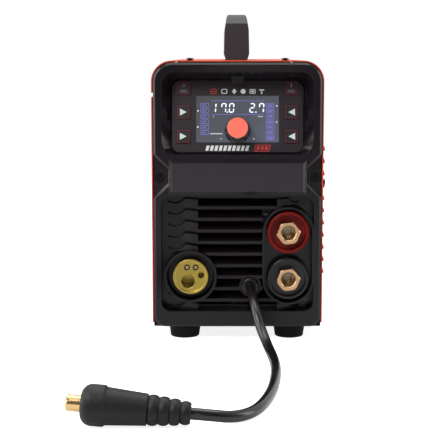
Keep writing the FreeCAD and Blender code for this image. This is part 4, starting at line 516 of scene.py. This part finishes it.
# A rule above and below the figures, and a column of outlined settings at each side, some of them bolder.
violet = [bar(0.4, 50.0, 50.0, 0.55), bar(0.4, 37.0, 50.0, 0.55)]
for i in range(6):
    y = 45.6 - TAG_STEP * i
    violet += [frame_shape(-30.9, y, TAG_WIDTH, TAG_HEIGHT, 0.55, 1.2), bar(-32.2, y, 1.3, 1.5),
               bar(-30.2, y, 1.0, 1.5)]
for i in range(7):
    y = 45.5 - (TAG_STEP - 0.05) * i
    line = 0.75 if i in (0, 1, 3, 6) else 0.55
    violet += [frame_shape(30.7, y, TAG_WIDTH - 0.2, TAG_HEIGHT, line, 1.0), bar(30.7, y, 4.8, 1.5)]
panel_prints("display_marks", violet, LENS_OUT, LIT_VIOLET)
small = [dot(-22.5, 35.0, 0.5), bar(21.6, 34.9, 4.4, 0.8), bar(-19.8, 18.6, 11.4, 0.9),
         bar(-15.4, 13.6, 1.6, 0.8), bar(15.4, 13.6, 1.9, 0.6), bar(15.4, 13.6, 0.6, 1.9)]
panel_prints("display_small_marks", small, LENS_OUT, PRINT_WHITE)

# Printed on the facing: a row of plain signs over the display, and a setting scale with a red end below it.
OVERLAY_OUT = 0.83
SIGN_ROW = 59.1
signs = [frame_shape(-12.4, SIGN_ROW, 5.6, 4.8, 0.8, 1.4),
         ([(-3.0, SIGN_ROW + 2.8), (-5.2, SIGN_ROW), (-3.0, SIGN_ROW - 2.8), (-0.8, SIGN_ROW)], None),
         dot(5.4, SIGN_ROW, 2.4, 20), frame_shape(14.3, SIGN_ROW, 5.6, 4.4, 0.7, 0.5),
         bar(14.3, SIGN_ROW, 2.6, 1.7), bar(22.9, SIGN_ROW + 1.3, 4.8, 1.4),
         bar(22.9, SIGN_ROW - 1.2, 1.3, 2.6)]
panel_prints("facing_signs", signs, OVERLAY_OUT, PRINT_WHITE)
SCALE_MIDDLE, SCALE_LEAN = 4.7, 0.25
ticks = [bar(-28.2 + 4.15 * i, SCALE_MIDDLE, 2.8, 5.0, SCALE_LEAN) for i in range(10)]
panel_prints("facing_scale", ticks, OVERLAY_OUT, PRINT_WHITE)
red = [frame_shape(-22.6, SIGN_ROW, 5.8, 5.2, 0.7, 1.3), bar(-22.6, SIGN_ROW, 4.6, 0.7)]
leaning_box = tuple(bar(23.3, SCALE_MIDDLE, w, h, SCALE_LEAN)[0] for w, h in ((14.4, 6.4), (13.0, 5.0)))
red += [leaning_box] + [bar(19.4 + 3.9 * i, SCALE_MIDDLE, 2.6, 3.2, SCALE_LEAN) for i in range(3)]
panel_prints("facing_red_marks", red, OVERLAY_OUT,
             material("bright_red_ink", linear(190, 44, 40), 0.45, blotch=0.05))

# Each key carries a thin red outline. The lower four have an arrowhead towards the display, and the top two
# a small sign over two short lines.
KEY_OUT = 2.13
KEY_OUTLINE = 12.0
for side, row in KEYS:
    x, y = (-KEY_COLUMN if side == "left" else KEY_COLUMN), KEY_ROWS[row]
    way = 1 if side == "left" else -1
    body, slot_name = f"button_{side}_{row}", f"key_{side}_{row}"
    outline = frame_shape(x, y, KEY_OUTLINE, KEY_OUTLINE, 0.45, 0.5)
    panel_prints(f"outline_{side}_{row}", [outline], KEY_OUT, PRINT_RED, body)
    if row == "top":
        marks = [bar(x, y - 2.1, 6.2, 0.6), bar(x, y - 3.7, 7.2, 0.6)]
        marks += [frame_shape(x, y + 2.6, 2.8, 2.6, 0.35, 0.7)] if side == "left" else \
                 [bar(x, y + 2.4, 0.8, 4.0), bar(x, y + 3.6, 2.2, 0.6)]
        ink = DIM_WHITE
    else:
        marks = [([(x - way * 3.4, y - 3.3), (x + way * 3.0, y), (x - way * 3.4, y + 3.3)][::way], None)]
        ink = material(f"arrow_{side}_{row}", linear(206, 224, 214), 0.4, blotch=0.04)
    panel_prints(f"mark_{side}_{row}", marks, KEY_OUT, ink, body)

# ---- Studio ----
# White floor and background. A large soft light stands in front on the left and another hangs above. An
# upright strip at each side lights the case's edges, and a small light ahead the flat faces.
FLOOR_DROP = 0.0003  # just under the feet
bpy.ops.mesh.primitive_plane_add(size=12.0, location=(0, 0, -FLOOR_DROP))
floor = bpy.context.object
floor.name = "floor"
white = bpy.data.materials.new("white_floor")
start = fresh_tree(white)
seen = start.node("ShaderNodeLightPath")
glossy = start.node("ShaderNodeLightPath", output=3)
glow = start.node("ShaderNodeEmission", {}, {"Color": (1, 1, 1, 1), "Strength": seen * 0.85 + glossy * 0.2})
matt = start.node("ShaderNodeBsdfDiffuse", {}, {"Color": (0.8, 0.8, 0.8, 1)})
both = start.node("ShaderNodeAddShader", {}, {0: glow, 1: matt})
start.node("ShaderNodeOutputMaterial", {}, {"Surface": both})
floor.data.materials.append(white)

# The room is white, but dark behind the camera, as a studio is.
world = bpy.data.worlds.new("studio")
bpy.context.scene.world = world
start = fresh_tree(world)
direction = start.node("ShaderNodeTexCoord", output=0)
towards_back = start.node("ShaderNodeSeparateXYZ", {}, {0: direction}, output=1)
room = towards_back.ramp(-0.9, 0.4, 0.05, 0.9)
seen = start.node("ShaderNodeLightPath")
glossy = start.node("ShaderNodeLightPath", output=3)
level = seen + (1 - seen) * (glossy * room + (1 - glossy) * 0.22)
backdrop = start.node("ShaderNodeBackground", {}, {"Color": (1, 1, 1, 1), "Strength": level})
start.node("ShaderNodeOutputWorld", {}, {"Surface": backdrop})


def softbox(name, place, size, power, target=(0, -0.1, 0.13)):
    data = bpy.data.lights.new(name, "AREA")
    data.shape = "RECTANGLE"
    data.size, data.size_y = size
    data.energy = power
    lamp = bpy.data.objects.new(name, data)
    bpy.context.collection.objects.link(lamp)
    lamp.location = place
    lamp.rotation_euler = (Vector(target) - Vector(place)).to_track_quat("-Z", "Y").to_euler()


softbox("key_light", (-0.8, -1.2, 1.3), (0.9, 0.9), 20.0)
softbox("left_strip", (-1.1, -0.24, 0.5), (0.4, 1.3), 7.0, (0, -0.2, 0.16))
softbox("right_strip", (1.1, -0.3, 0.4), (0.5, 1.0), 5.0, (0, -0.2, 0.16))
softbox("front_light", (0.05, -1.9, 0.36), (0.1, 0.1), 0.4)
softbox("top_light", (0.0, 0.1, 1.5), (1.2, 1.2), 14.0)

bpy.context.scene.view_settings.view_transform = "Standard"

bpy.context.view_layer.update()
